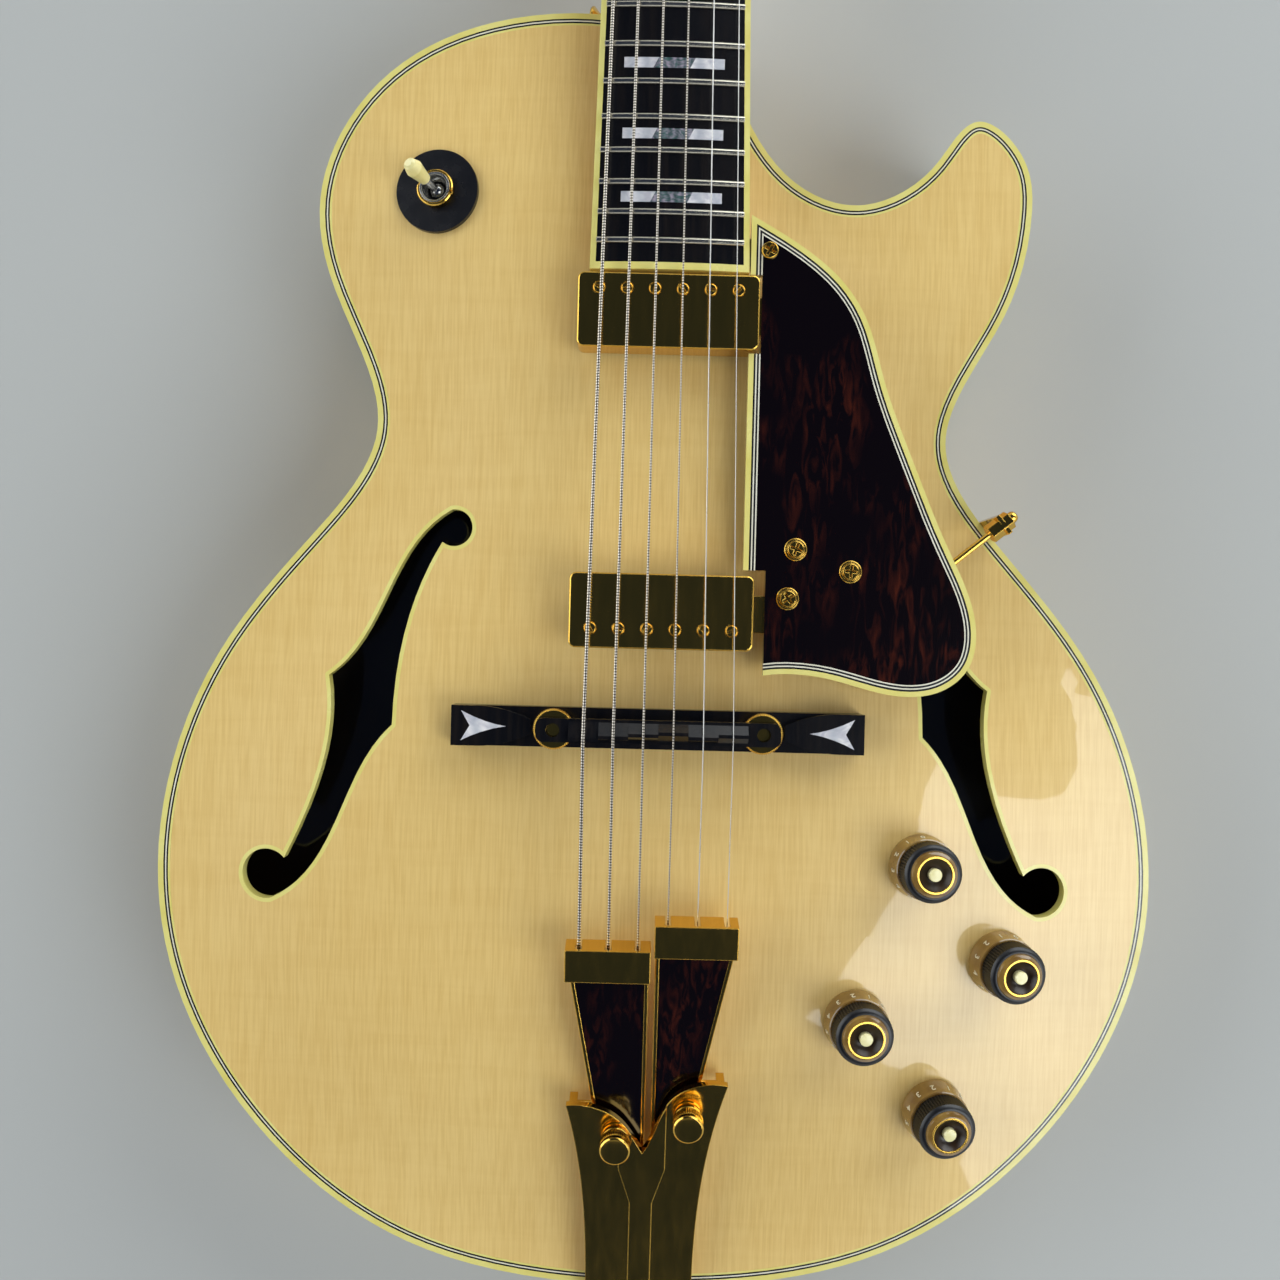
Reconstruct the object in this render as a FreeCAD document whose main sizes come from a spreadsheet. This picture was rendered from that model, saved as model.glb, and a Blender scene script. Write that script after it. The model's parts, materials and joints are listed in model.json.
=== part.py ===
import FreeCAD, Part
import math
import os

import Sketcher
from FreeCAD import Placement, Rotation, Vector

# A hollow archtop guitar lying on its back, in millimetres and degrees.
# X points to the treble side, Y to the head and Z out of the top.
# Pieces are drawn from the tail end of the body and then moved to the middle of the guitar.

doc = FreeCAD.newDocument("archtop_guitar")
sheet = doc.addObject("Spreadsheet::Sheet", "Sizes")

SIZES = [
    # Main measures
    ("scale_length", 628.0, "nut to saddle line"),
    ("saddle_setback", 1.6, "saddle line behind the end of the scale"),
    ("saddle_from_tail", 213.5, "saddle line from the tail"),
    ("body_length", 484.0, "tail to the end face under the neck"),
    ("neck_pitch", 3.0, "fall of the board towards the head"),
    ("bridge_height", 26.0, "crown of the top to the strings"),
    # Rim and plates
    ("back_arch", 11.0, "rise of the back"),
    ("back_thickness", 4.0, "back plate"),
    ("side_height", 53.0, "bent sides"),
    ("side_thickness", 2.5, "bent sides"),
    ("top_thickness", 5.0, "top plate"),
    ("plate_land", 0.4, "extra thickness levelled off where a plate meets the rim"),
    ("top_arch", 13.0, "rise of the top"),
    ("arch_flat", 5.0, "level edge of the arching"),
    ("arch_edge_span", 45.0, "width of the recurve"),
    ("arch_dome_span", 140.0, "reach of the dome"),
    ("arch_edge_share", 0.6, "part of the rise inside the recurve"),
    ("nose_half_width", 24.0, "body nose under the neck"),
    ("nose_start", 467.0, "where the cutaway meets the nose"),
    # Binding and its lines
    ("binding_width", 2.1, "cream edge strip"),
    ("line_black", 0.6, "black line"),
    ("line_white", 0.5, "white line"),
    ("line_cream", 0.8, "inner cream line"),
    ("line_depth", 1.5, "depth of the lines"),
    # Inside of the body
    ("lining_width", 6.0, "lining strips"),
    ("lining_height", 14.0, "lining strips"),
    ("neck_block_depth", 60.0, "neck block along the body"),
    ("tail_block_depth", 28.0, "tail block along the body"),
    ("tail_block_half_width", 42.0, "tail block"),
    ("tone_bar_length", 300.0, "tone bars"),
    ("tone_bar_width", 8.0, "tone bars"),
    ("tone_bar_height", 11.0, "tone bars"),
    ("tone_bar_offset", 42.0, "tone bar from the centre line"),
    ("tone_bar_splay", 4.0, "turn of a tone bar"),
    # Sound holes
    ("eye_upper_radius", 7.0, "upper eye"),
    ("eye_lower_radius", 9.4, "lower eye"),
    ("eye_upper_arrival", 100.0, "where the outer edge meets the upper eye"),
    ("eye_upper_nick", 231.0, "where the inner edge leaves the upper eye"),
    ("eye_lower_arrival", -80.0, "where the inner edge meets the lower eye"),
    ("eye_lower_nick", 42.0, "where the outer edge leaves the lower eye"),
    ("hole_binding", 1.5, "cream strip round a sound hole"),
    # Neck
    ("nut_width", 43.0, "board width at the nut"),
    ("nut_thickness", 5.0, "nut along the board"),
    ("nut_slot_height", 1.6, "string underside over the board at the nut"),
    ("nut_rise", 2.1, "top of the nut over the board"),
    ("nut_slot_room", 0.05, "room each side of a string in its slot"),
    ("nut_spread", 36.0, "outer strings at the nut"),
    ("board_end_width", 58.0, "board width at its end"),
    ("board_thickness", 6.3, "board at its middle"),
    ("board_past_fret", 10.6, "board beyond the last fret"),
    ("board_radius", 305.0, "crown of the board"),
    ("board_binding", 2.1, "cream strip along the board"),
    ("board_end_binding", 2.6, "cream strip at the board end"),
    ("board_action", 4.6, "string underside over the board line at the saddle"),
    ("fret_count", 22, "number of frets"),
    ("fret_width", 2.4, "fret crown"),
    ("fret_height", 1.2, "fret crown"),
    ("inlay_width", 36.7, "block inlay across the board"),
    ("inlay_length", 3.9, "block inlay along the board"),
    ("inlay_depth", 1.5, "block inlay"),
    ("inlay_middle", 13.4, "abalone middle"),
    ("inlay_slant", 2.0, "lean of the middle's ends"),
    ("neck_depth_nut", 15.5, "neck under the board at the nut"),
    ("neck_depth_heel", 17.5, "neck under the board at the heel"),
    ("heel_cap", 22.0, "heel foot along the neck"),
    ("heel_reach", 62.0, "heel along the neck"),
    ("heel_low", 13.0, "height of the heel foot"),
    ("heel_foot_half_width", 13.0, "heel foot"),
    ("heel_depth", 15.8, "heel's meeting with the shaft, under the board"),
    ("heel_sweep", 26.4, "widest place of the heel's hollow"),
    ("tenon_length", 18.0, "neck tenon in the block"),
    ("tenon_half_width", 15.0, "neck tenon"),
    ("tenon_inset", 6.0, "tenon from the plates"),
    ("extension_depth", 6.0, "neck wood under the board over the body"),
    ("extension_short", 4.0, "board past the neck wood"),
    ("extension_inset", 1.5, "neck wood inside the board edge"),
    ("truss_radius", 3.0, "truss rod"),
    ("truss_depth", 6.0, "truss rod axis under the board"),
    ("truss_room", 0.05, "room round the truss rod"),
    ("truss_length", 345.0, "truss rod"),
    # Head
    ("head_angle", 14.6, "head behind the board"),
    ("head_drop", 5.5, "head face under the board at the nut"),
    ("head_length", 178.0, "head from the nut"),
    ("head_thickness", 14.0, "head"),
    ("head_flare", 36.0, "half width at the flare"),
    ("head_flare_at", 40.0, "flare from the nut"),
    ("head_shoulder", 31.0, "half width at the upper corner"),
    ("head_shoulder_at", 156.0, "upper corner from the nut"),
    ("overlay_thickness", 2.0, "head veneer"),
    ("cover_thickness", 2.0, "truss rod cover"),
    ("cover_start", 4.0, "cover from the nut"),
    ("cover_length", 30.0, "truss rod cover"),
    ("cover_foot", 10.0, "half width of the cover at the nut"),
    ("cover_tip", 4.0, "half width of the cover at its tip"),
    # Tuners
    ("tuner_first", 46.0, "first post from the nut"),
    ("tuner_step", 42.0, "post to post"),
    ("tuner_offset", 22.0, "post from the centre line"),
    ("post_radius", 3.0, "tuner post"),
    ("post_waist", 2.2, "groove for the string"),
    ("post_rise", 16.0, "post over the veneer"),
    ("post_groove_low", 7.0, "groove over the veneer"),
    ("post_groove_high", 12.0, "groove over the veneer"),
    ("bushing_radius", 4.3, "tuner bushing"),
    ("bushing_flange", 6.0, "tuner bushing flange"),
    ("bushing_flange_height", 1.2, "tuner bushing flange"),
    ("tuner_fit", 0.06, "running room of posts and shafts"),
    ("housing_length", 18.0, "tuner housing along the head"),
    ("housing_width", 17.0, "tuner housing across the head"),
    ("housing_height", 10.5, "tuner housing"),
    ("worm_axis_depth", 6.2, "button shaft under the head"),
    ("post_tail", 3.2, "post end under the head"),
    ("button_shaft_radius", 2.0, "button shaft"),
    ("button_shaft_bore", 6.0, "button shaft in the housing"),
    ("button_stand", 10.0, "button from its housing"),
    ("button_length", 13.0, "button along its shaft"),
    ("button_width", 18.0, "button across its shaft"),
    ("button_thickness", 7.0, "button"),
    # Strings
    ("saddle_spread", 53.0, "outer strings at the saddle"),
    ("gauge_low_e", 1.32, "diameter"),
    ("gauge_a", 1.07, "diameter"),
    ("gauge_d", 0.81, "diameter"),
    ("gauge_g", 0.61, "diameter"),
    ("gauge_b", 0.41, "diameter"),
    ("gauge_high_e", 0.31, "diameter"),
    ("back_low_e", 3.0, "contact behind the saddle line"),
    ("back_a", 2.0, "contact behind the saddle line"),
    ("back_d", 1.0, "contact behind the saddle line"),
    ("back_g", 0.2, "contact behind the saddle line"),
    ("back_b", 1.6, "contact behind the saddle line"),
    ("back_high_e", 0.6, "contact behind the saddle line"),
    ("string_rest_gap", 0.05, "string over what it rests on"),
    # Bridge
    ("bridge_length", 151.0, "base"),
    ("bridge_width", 14.7, "base"),
    ("bridge_middle_rise", 5.5, "middle of the base over the crown"),
    ("bridge_end_rise", 8.5, "ends of the base over the crown"),
    ("bridge_end_length", 29.0, "raised ends"),
    ("bridge_end_flat", 9.0, "full width part of a raised end"),
    ("bridge_end_tip", 2.7, "half width of a raised end at its tip"),
    ("arrow_length", 16.5, "pearl arrow"),
    ("arrow_width", 11.0, "pearl arrow"),
    ("arrow_notch", 3.2, "notch in the arrow's foot"),
    ("arrow_hollow", 0.8, "hollow of the arrow's sides"),
    ("arrow_margin", 3.6, "arrow foot from the end of the base"),
    ("arrow_depth", 0.8, "pearl arrow"),
    ("post_spacing", 75.0, "bridge posts"),
    ("bridge_post_radius", 2.4, "bridge post"),
    ("bridge_post_seat", 4.0, "post in the base"),
    ("bridge_fit", 0.06, "running room round a post"),
    ("wheel_radius", 7.5, "thumbwheel"),
    ("wheel_height", 3.0, "thumbwheel"),
    ("wheel_gap", 0.1, "thumbwheel to saddle"),
    ("saddle_length", 87.0, "saddle"),
    ("saddle_width", 8.4, "saddle"),
    ("saddle_corner", 2.5, "saddle corners"),
    ("ridge_foot", 6.3, "width of the ridges at their foot"),
    ("saddle_body_height", 5.5, "saddle under its ridges"),
    ("saddle_ridge", 1.2, "width of a ridge"),
    ("saddle_ridge_height", 3.4, "ridges over the saddle body"),
    ("saddle_travel", 3.0, "height adjustment"),
    # Tailpiece
    ("tail_seat", 76.0, "tailpiece underside at the tail"),
    ("tail_slope", 12.5, "rise of the tailpiece towards the bridge"),
    ("tail_plate", 3.0, "tailpiece base plate"),
    ("tail_leg_low", 26.0, "foot of the leg on the tail"),
    ("tail_half_width", 20.0, "base at the tail"),
    ("tail_across", 1.9, "base towards the bass side"),
    ("spine_height", 1.2, "raised middle of the base"),
    ("spine_room", 0.5, "raised middle to the thumbscrews"),
    ("arm_gap", 2.2, "under the base to the arms"),
    ("arm_thickness", 4.0, "arms"),
    ("arm_parting", 1.1, "arm from the centre line"),
    ("arm_bar_height", 10.0, "string bar"),
    ("arm_bar_depth", 12.3, "string bar along the strings"),
    ("arm_lever", 9.0, "hinge pin to thumbscrew"),
    ("arm_pin_radius", 1.1, "hinge pin"),
    ("arm_pin_fit", 0.06, "room round the pin"),
    ("lug_inset", 1.0, "ear inside the tips of the base"),
    ("lug_width", 3.0, "hinge ear"),
    ("lug_drop", 8.0, "hinge ear under the base"),
    ("arm_inlay_margin", 1.6, "gold edge round the arm inlay"),
    ("arm_inlay_depth", 0.8, "arm inlay"),
    ("string_slot_width", 1.9, "slot in the string bar"),
    ("string_slot_depth", 5.0, "slot in the string bar"),
    ("string_slot_roof", 2.0, "bar over a slot"),
    ("string_entry", 5.0, "string under the top of the bar"),
    ("string_hold", 3.5, "end of a string behind the bar's front"),
    ("thumb_radius", 5.5, "thumbscrew head"),
    ("thumb_height", 9.0, "thumbscrew head"),
    ("thumb_stem", 2.0, "thumbscrew stem"),
    ("thumb_fit", 0.06, "room round the stem"),
    ("thumb_gap", 0.3, "thumbscrew head over the base"),
    ("thumb_tip_gap", 0.1, "thumbscrew tip to the arm"),
    # Pickguard
    ("guard_level", 93.5, "underside of the pickguard"),
    ("guard_thickness", 3.5, "pickguard"),
    ("guard_binding", 1.9, "cream edge of the pickguard"),
    ("guard_black", 0.7, "black line of the pickguard"),
    ("guard_white", 0.5, "white line of the pickguard"),
    ("guard_inner_edge", 29.5, "straight edge from the centre line"),
    ("guard_notch_edge", 37.6, "edge beside the bridge pickup"),
    ("guard_notch_end", 59.0, "notch before the saddle"),
    ("rod_radius", 1.25, "pickguard rod"),
    ("rod_inside", 28.0, "rod inside the rim"),
    ("rod_outside", 4.5, "rod and barrel outside the rim"),
    ("barrel_across", 6.2, "hexagon barrel"),
    ("barrel_length", 9.3, "hexagon barrel"),
    ("end_nut_radius", 2.2, "nut at the end of the rod"),
    ("end_nut_length", 3.0, "nut at the end of the rod"),
    ("foot_width", 8.0, "bracket foot"),
    ("foot_thickness", 1.6, "bracket foot"),
    ("foot_low", 38.0, "bracket foot on the rim"),
    ("foot_gap", 0.15, "bracket foot to the rim"),
    ("guard_screw_radius", 3.2, "pickguard screws"),
    ("guard_screw_height", 1.4, "pickguard screws"),
    ("ledge_reach", 5.1, "block under the upper pickguard screw"),
    ("guard_washer_radius", 4.15, "pickguard washers"),
    ("guard_washer_height", 0.6, "pickguard washers"),
    # Pickups
    ("pickup_length", 66.0, "cover"),
    ("pickup_width", 27.0, "cover"),
    ("pickup_height", 12.0, "cover"),
    ("pickup_wall", 0.8, "cover"),
    ("pickup_corner", 2.5, "cover corners"),
    ("pickup_edge", 0.8, "rounding of the cover's top"),
    ("neck_pickup_top", 99.6, "top of the neck pickup"),
    ("bridge_pickup_top", 105.5, "top of the bridge pickup"),
    ("neck_pickup_gap", 1.6, "board end to pickup"),
    ("bridge_pickup_at", 43.0, "pickup middle before the saddle"),
    ("pickup_guard_room", 0.8, "pickguard to pickup"),
    ("pole_spacing", 10.1, "pole screws"),
    ("coil_row", 6.2, "coil from the pickup's middle"),
    ("neck_pole_row", 7.8, "pole row from the neck pickup's middle"),
    ("bridge_pole_row", 6.4, "pole row from the bridge pickup's middle"),
    ("pole_radius", 2.2, "pole screw head"),
    ("pole_stand", 0.35, "pole screw head over the cover"),
    ("pole_length", 9.0, "pole screw"),
    ("coil_width", 10.5, "coil"),
    ("coil_height", 8.0, "coil"),
    ("coil_length", 60.0, "coil"),
    ("coil_corner", 4.2, "coil"),
    ("plate_thickness", 1.5, "pickup mounting plates"),
    # Controls
    ("knob_skirt", 11.0, "knob"),
    ("knob_skirt_edge", 1.8, "knob"),
    ("knob_skirt_height", 4.5, "knob"),
    ("knob_grip", 10.8, "rubber grip"),
    ("knob_core", 8.4, "knob inside the grip"),
    ("knob_grip_top", 18.5, "top of the grip"),
    ("knob_cap", 7.6, "clear cap"),
    ("knob_cap_edge", 20.4, "clear cap"),
    ("knob_height", 21.0, "knob"),
    ("knob_gap", 0.8, "knob over the top"),
    ("knob_bore", 12.0, "shaft in the knob"),
    ("shaft_radius", 3.1, "control shaft"),
    ("shaft_fit", 0.08, "room round the control shaft"),
    ("pot_bushing", 4.7, "potentiometer bushing"),
    ("pot_room", 0.05, "bushing in the top"),
    ("pot_gap", 0.8, "potentiometer under the top"),
    ("pot_can", 8.5, "potentiometer case"),
    ("pot_can_height", 9.0, "potentiometer case"),
    ("pot_floor", 1.2, "potentiometer case"),
    ("shaft_end_gap", 0.3, "shaft end in its case"),
    ("ring_radius", 15.75, "switch ring"),
    ("ring_height", 2.0, "switch ring"),
    ("switch_bushing", 5.8, "switch bushing"),
    ("switch_bore", 3.4, "switch bushing"),
    ("switch_mouth", 4.9, "mouth of the switch bushing"),
    ("switch_mouth_depth", 3.5, "mouth of the switch bushing"),
    ("switch_nut", 7.0, "switch nut"),
    ("switch_nut_height", 3.0, "switch nut"),
    ("switch_depth", 9.0, "bushing under the top surface"),
    ("switch_frame_length", 26.0, "switch frame"),
    ("switch_frame_width", 13.0, "switch frame"),
    ("switch_frame_height", 20.0, "switch frame"),
    ("lever_radius", 1.4, "switch lever"),
    ("lever_ball", 3.1, "pivot ball of the lever"),
    ("lever_length", 18.0, "switch lever from its pivot"),
    ("lever_tilt", 17.0, "lever from upright at rest"),
    ("lever_heading", 150.0, "way the lever leans"),
    ("tip_start", 9.5, "tip from the pivot"),
    ("tip_foot", 2.2, "tip radius at its foot"),
    ("tip_radius", 3.3, "tip radius"),
    ("tip_swell", 17.0, "widest place of the tip"),
    ("tip_shoulder", 2.4, "tip radius near its end"),
    ("tip_end", 21.0, "end of the tip"),
    # Jack and strap buttons
    ("jack_from_tail", 66.0, "jack on the treble rim"),
    ("jack_level", 41.5, "jack over the back"),
    ("jack_bore", 3.2, "plug bore"),
    ("jack_sleeve", 4.8, "jack sleeve"),
    ("jack_flange", 8.0, "jack flange"),
    ("jack_flange_height", 2.2, "jack flange"),
    ("jack_length", 26.0, "jack inside the rim"),
    ("jack_room", 0.1, "jack in the side"),
    ("button_waist", 4.0, "strap button"),
    ("button_head", 7.0, "strap button"),
    ("button_base", 5.6, "strap button"),
    ("button_height", 14.0, "strap button"),
    ("button_base_height", 2.0, "strap button"),
    ("button_head_height", 4.0, "strap button"),
    ("tail_button_level", 46.0, "tail strap button"),
    ("heel_button_level", 44.0, "heel strap button"),
    ("heel_button_out", 11.0, "heel strap button past the body"),
    ("leg_screw_radius", 3.0, "tailpiece leg screws"),
    ("leg_screw_spread", 12.0, "tailpiece leg screws from the middle"),
    ("cover_screw_radius", 1.6, "truss cover screws"),
    ("cover_screw_margin", 4.0, "truss cover screws from its ends"),
    ("screw_head_height", 1.2, "small screw heads"),
]

# Corners and bends of the outlines.
# The body is measured from the tail, and the fittings from the saddle line.
POINTS = [
    ("tail_flat", 43.0, 2.6),
    ("tail_bend", 88.5, 14.0),
    ("lower_bend", 149.5, 58.6),
    ("lower_swell", 183.5, 119.0),
    ("lower_bout", 189.0, 157.0),
    ("lower_shoulder", 168.5, 236.0),
    ("waist_bend", 136.0, 280.0),
    ("waist", 109.5, 323.5),
    ("treble_shoulder", 167.0, 236.0),
    ("treble_bend", 133.0, 280.0),
    ("treble_waist", 107.3, 323.5),
    ("bass_waist", 128.5, 381.0),
    ("bass_bout", 133.4, 412.0),
    ("bass_shoulder", 110.0, 458.4),
    ("bass_crown", 56.0, 483.0),
    ("horn_waist", 128.0, 372.0),
    ("horn_side", 138.0, 412.0),
    ("horn_shoulder", 134.0, 434.0),
    ("horn_tip", 116.0, 447.0),
    ("horn_inside", 103.0, 433.0),
    ("cutaway_bend", 96.0, 425.0),
    ("cutaway_low", 71.0, 414.0),
    ("cutaway_rise", 45.0, 424.0),
    ("cutaway_neck", 34.5, 436.0),
    ("nose_bend", 27.2, 450.0),
    ("eye_upper", 78.4, 73.3),
    ("eye_lower", 146.4, -59.0),
    ("stem_inner_high", 94.4, 39.7),
    ("stem_inner_mid", 98.9, 12.0),
    ("notch_inner", 99.4, -1.3),
    ("stem_inner_low", 112.8, -21.3),
    ("stem_inner_end", 126.5, -51.5),
    ("stem_outer_low", 131.0, -34.0),
    ("stem_outer_mid", 123.6, -6.0),
    ("notch_outer", 124.5, 16.6),
    ("stem_outer_high", 109.4, 35.0),
    ("stem_outer_end", 95.5, 64.0),
    ("guard_corner", 26.5, 189.6),
    ("guard_crest", 54.6, 172.3),
    ("guard_shoulder", 64.8, 162.6),
    ("guard_bend", 71.8, 151.5),
    ("guard_side", 78.8, 129.6),
    ("guard_waist", 90.4, 99.3),
    ("guard_flank", 102.8, 70.4),
    ("guard_swell", 109.5, 56.6),
    ("guard_bulge", 114.5, 39.4),
    ("guard_turn", 111.8, 24.9),
    ("guard_round", 102.4, 16.8),
    ("guard_foot", 92.0, 14.5),
    ("guard_hollow", 81.1, 15.4),
    ("guard_wave", 63.0, 19.9),
    ("guard_rest", 47.4, 21.7),
    ("guard_low", 26.0, 17.2),
    ("guard_screw_top", 36.3, 175.1),
    ("guard_screw_inner", 48.3, 66.9),
    ("guard_screw_outer", 68.4, 59.3),
    ("guard_screw_low", 45.8, 49.0),
    ("rod_crossing", 117.5, 74.5),
    ("knob_neck_volume", 99.1, -48.9),
    ("knob_bridge_volume", 130.4, -84.8),
    ("knob_neck_tone", 76.3, -107.2),
    ("knob_bridge_tone", 107.3, -141.5),
    ("switch", -87.8, 200.0),
    ("tail_flank", 21.2, 38.0),
    ("tail_upper", 23.3, 56.0),
    ("spine_straight", 4.1, 40.0),
    ("spine_wide", 8.5, 54.0),
    ("tail_bass_tip", 28.1, 78.7),
    ("tail_bass_bend", 19.0, 78.3),
    ("tail_bass_rise", 8.5, 73.0),
    ("tail_bass_inner", 4.0, 67.5),
    ("tail_fork", 0.1, 60.8),
    ("tail_treble_inner", 5.0, 71.5),
    ("tail_treble_rise", 10.2, 82.0),
    ("tail_treble_bend", 17.8, 87.0),
    ("tail_treble_tip", 30.6, 88.0),
    ("bass_bar", 31.4, 125.9),
    ("treble_bar", 30.6, 135.9),
    ("bass_arm_low", 17.4, 57.6),
    ("treble_arm_low", 14.9, 64.5),
    ("bass_arm_high", 29.5, 125.9),
    ("treble_arm_high", 29.3, 135.9),
    ("bass_screw", 11.8, 66.6),
    ("treble_screw", 14.4, 76.0),
]


def fill_sheet():
    """Write every driving size to the sheet under its alias."""
    rows = list(SIZES)
    for name, across, along in POINTS:
        rows.append((name + "_x", across, "across"))
        rows.append((name + "_y", along, "along"))
    for row, (alias, value, note) in enumerate(rows, start=1):
        sheet.set(f"A{row}", alias)
        sheet.set(f"B{row}", str(value))
        sheet.setAlias(f"B{row}", alias)
        sheet.set(f"C{row}", note)
    doc.recompute()


fill_sheet()


def mm(alias):
    """One driving size from the sheet."""
    return float(sheet.get(alias))


def point(name, side=1.0):
    """A named outline point, mirrored to the bass side by side=-1."""
    return Vector(side * mm(name + "_x"), mm(name + "_y"), 0)


X_AXIS = Vector(1, 0, 0)
Y_AXIS = Vector(0, 1, 0)
Z_AXIS = Vector(0, 0, 1)
FLAT = Rotation()

# Levels of the body, from the table up
rim_low = mm("back_arch")
side_low = rim_low + mm("back_thickness")
side_high = side_low + mm("side_height")
rim_top = side_high + mm("top_thickness")
crown = rim_top + mm("top_arch")
string_level = crown + mm("bridge_height")
saddle_y = mm("saddle_from_tail")

# The board line falls from under the saddle to the nut, and the head falls on from there.
pitch = math.radians(mm("neck_pitch"))
nut_reach = mm("scale_length") + mm("saddle_setback")
nut_y = saddle_y + nut_reach * math.cos(pitch)
nut_z = string_level - mm("board_action") - nut_reach * math.sin(pitch)
NECK = Placement(Vector(0, nut_y, nut_z), Rotation(X_AXIS, -mm("neck_pitch")))
HEAD = NECK.multiply(
    Placement(Vector(0, mm("nut_thickness"), -mm("head_drop")), Rotation(X_AXIS, -mm("head_angle")))
)
TAIL = Placement(Vector(0, 0, mm("tail_seat")), Rotation(X_AXIS, mm("tail_slope")))
head_end = HEAD.multVec(Vector(0, mm("head_length"), 0)).y
tail_end = -mm("tail_plate") - mm("button_height")
ORIGIN = Placement(Vector(0, -(head_end + tail_end) / 2, 0), FLAT)


def feature(label, shape, place=None):
    """A sub-part made from a finished shape, of which only the solids are kept."""
    item = doc.addObject("Part::Feature", label)
    item.Label = label
    solids = shape.Solids
    kept = solids[0] if len(solids) == 1 else Part.makeCompound(solids)
    own = kept.Placement if place is None else place.multiply(kept.Placement)
    item.Shape = kept
    item.Placement = ORIGIN.multiply(own)
    return item


def group(label, members):
    """One sub-part made of several separate solids."""
    item = doc.addObject("Part::Compound", label)
    item.Label = label
    item.Links = members
    return item


def amount(terms):
    """Value of a sum of sheet sizes, such as 'knob_height - knob_cap_edge'."""
    total = 0.0
    sign = 1.0
    for word in terms.split():
        if word in ("+", "-"):
            sign = 1.0 if word == "+" else -1.0
        elif word != "0":
            total += sign * mm(word)
    return total


def formula(terms):
    """The same sum as an expression on the sheet."""
    return " ".join(word if word in ("+", "-", "0") else "Sizes." + word for word in terms.split())


def bound_sketch(body, role, corners):
    """A closed polygon on an origin plane, with every corner tied to the sheet."""
    sketch = body.newObject("Sketcher::SketchObject", body.Name + "_sketch")
    plane = [item for item in body.Origin.OriginFeatures if item.Role == role][0]
    sketch.AttachmentSupport = [(plane, "")]
    sketch.MapMode = "FlatFace"
    places = [Vector(amount(across), amount(along), 0) for across, along in corners]
    count = len(places)
    for index in range(count):
        sketch.addGeometry(Part.LineSegment(places[index], places[(index + 1) % count]), False)
    for index in range(count):
        sketch.addConstraint(Sketcher.Constraint("Coincident", index, 2, (index + 1) % count, 1))
    for index, (across, along) in enumerate(corners):
        for kind, terms, axis in (("DistanceX", across, -2), ("DistanceY", along, -1)):
            if terms == "0":
                sketch.addConstraint(Sketcher.Constraint("PointOnObject", index, 1, axis))
            else:
                number = sketch.addConstraint(Sketcher.Constraint(kind, index, 1, amount(terms)))
                sketch.setExpression(f"Constraints[{number}]", formula(terms))
    return sketch


def turned_body(label, profile, place):
    """A piece turned about its own Z axis from (radius, height) corners."""
    body = doc.addObject("PartDesign::Body", label)
    body.Label = label
    sketch = bound_sketch(body, "XZ_Plane", profile)
    turning = body.newObject("PartDesign::Revolution", label + "_turning")
    turning.Profile = sketch
    turning.ReferenceAxis = (sketch, ["V_Axis"])
    turning.Angle = 360
    body.Placement = ORIGIN.multiply(place)
    return body


def padded_body(label, corners, height, place):
    """A flat piece padded up from its XY outline."""
    body = doc.addObject("PartDesign::Body", label)
    body.Label = label
    sketch = bound_sketch(body, "XY_Plane", corners)
    pad = body.newObject("PartDesign::Pad", label + "_pad")
    pad.Profile = sketch
    pad.setExpression("Length", formula(height))
    body.Placement = ORIGIN.multiply(place)
    return body


def box(x_span, y_span, z_span):
    """A block between three pairs of limits."""
    size = [high - low for low, high in (x_span, y_span, z_span)]
    return Part.makeBox(size[0], size[1], size[2], Vector(x_span[0], y_span[0], z_span[0]))


def polygon(corners):
    """A flat face from its corners."""
    return Part.Face(Part.makePolygon(corners + corners[:1]))


def bend(poles):
    """A smooth edge pulled towards its poles."""
    curve = Part.BezierCurve()
    curve.setPoles(poles)
    return curve.toShape()


def smooth(points):
    """A smooth edge through points, free at both ends."""
    curve = Part.BSplineCurve()
    curve.interpolate(points)
    return curve.toShape()


def upright(face, low, high):
    """A flat face raised into a solid between two levels."""
    solid = face.extrude(Vector(0, 0, high - low))
    solid.translate(Vector(0, 0, low))
    return solid


def moved(shape, place):
    """A copy of a shape, placed and with the placement worked into it."""
    return shape.transformed(place.toMatrix(), True)


def joined(shapes):
    """Touching solids made one."""
    return shapes[0].fuse(shapes[1:]).removeSplitter()


# Body outline, a treble curve and a bass curve that meet at the tail and at the nose
LOWER = ["tail_flat", "tail_bend", "lower_bend", "lower_swell", "lower_bout"]
TREBLE = ["treble_shoulder", "treble_bend", "treble_waist", "horn_waist", "horn_side", "horn_shoulder"]
TREBLE += ["horn_tip", "horn_inside"]
TREBLE += ["cutaway_bend", "cutaway_low", "cutaway_rise", "cutaway_neck", "nose_bend"]
BASS = ["lower_shoulder", "waist_bend", "waist", "bass_waist", "bass_bout", "bass_shoulder", "bass_crown"]
NOSE_LEFT = Vector(-mm("nose_half_width"), mm("body_length"), 0)
NOSE_RIGHT = Vector(mm("nose_half_width"), mm("body_length"), 0)
NOSE_LOW = Vector(mm("nose_half_width"), mm("nose_start"), 0)
bass_points = [NOSE_LEFT] + [point(name, -1) for name in reversed(LOWER + BASS)]
treble_points = [point(name) for name in LOWER + TREBLE] + [NOSE_LOW, NOSE_RIGHT]
rim_curve = smooth(bass_points + [Vector(0, 0, 0)] + treble_points)
CURVE_STEPS = 180


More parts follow.
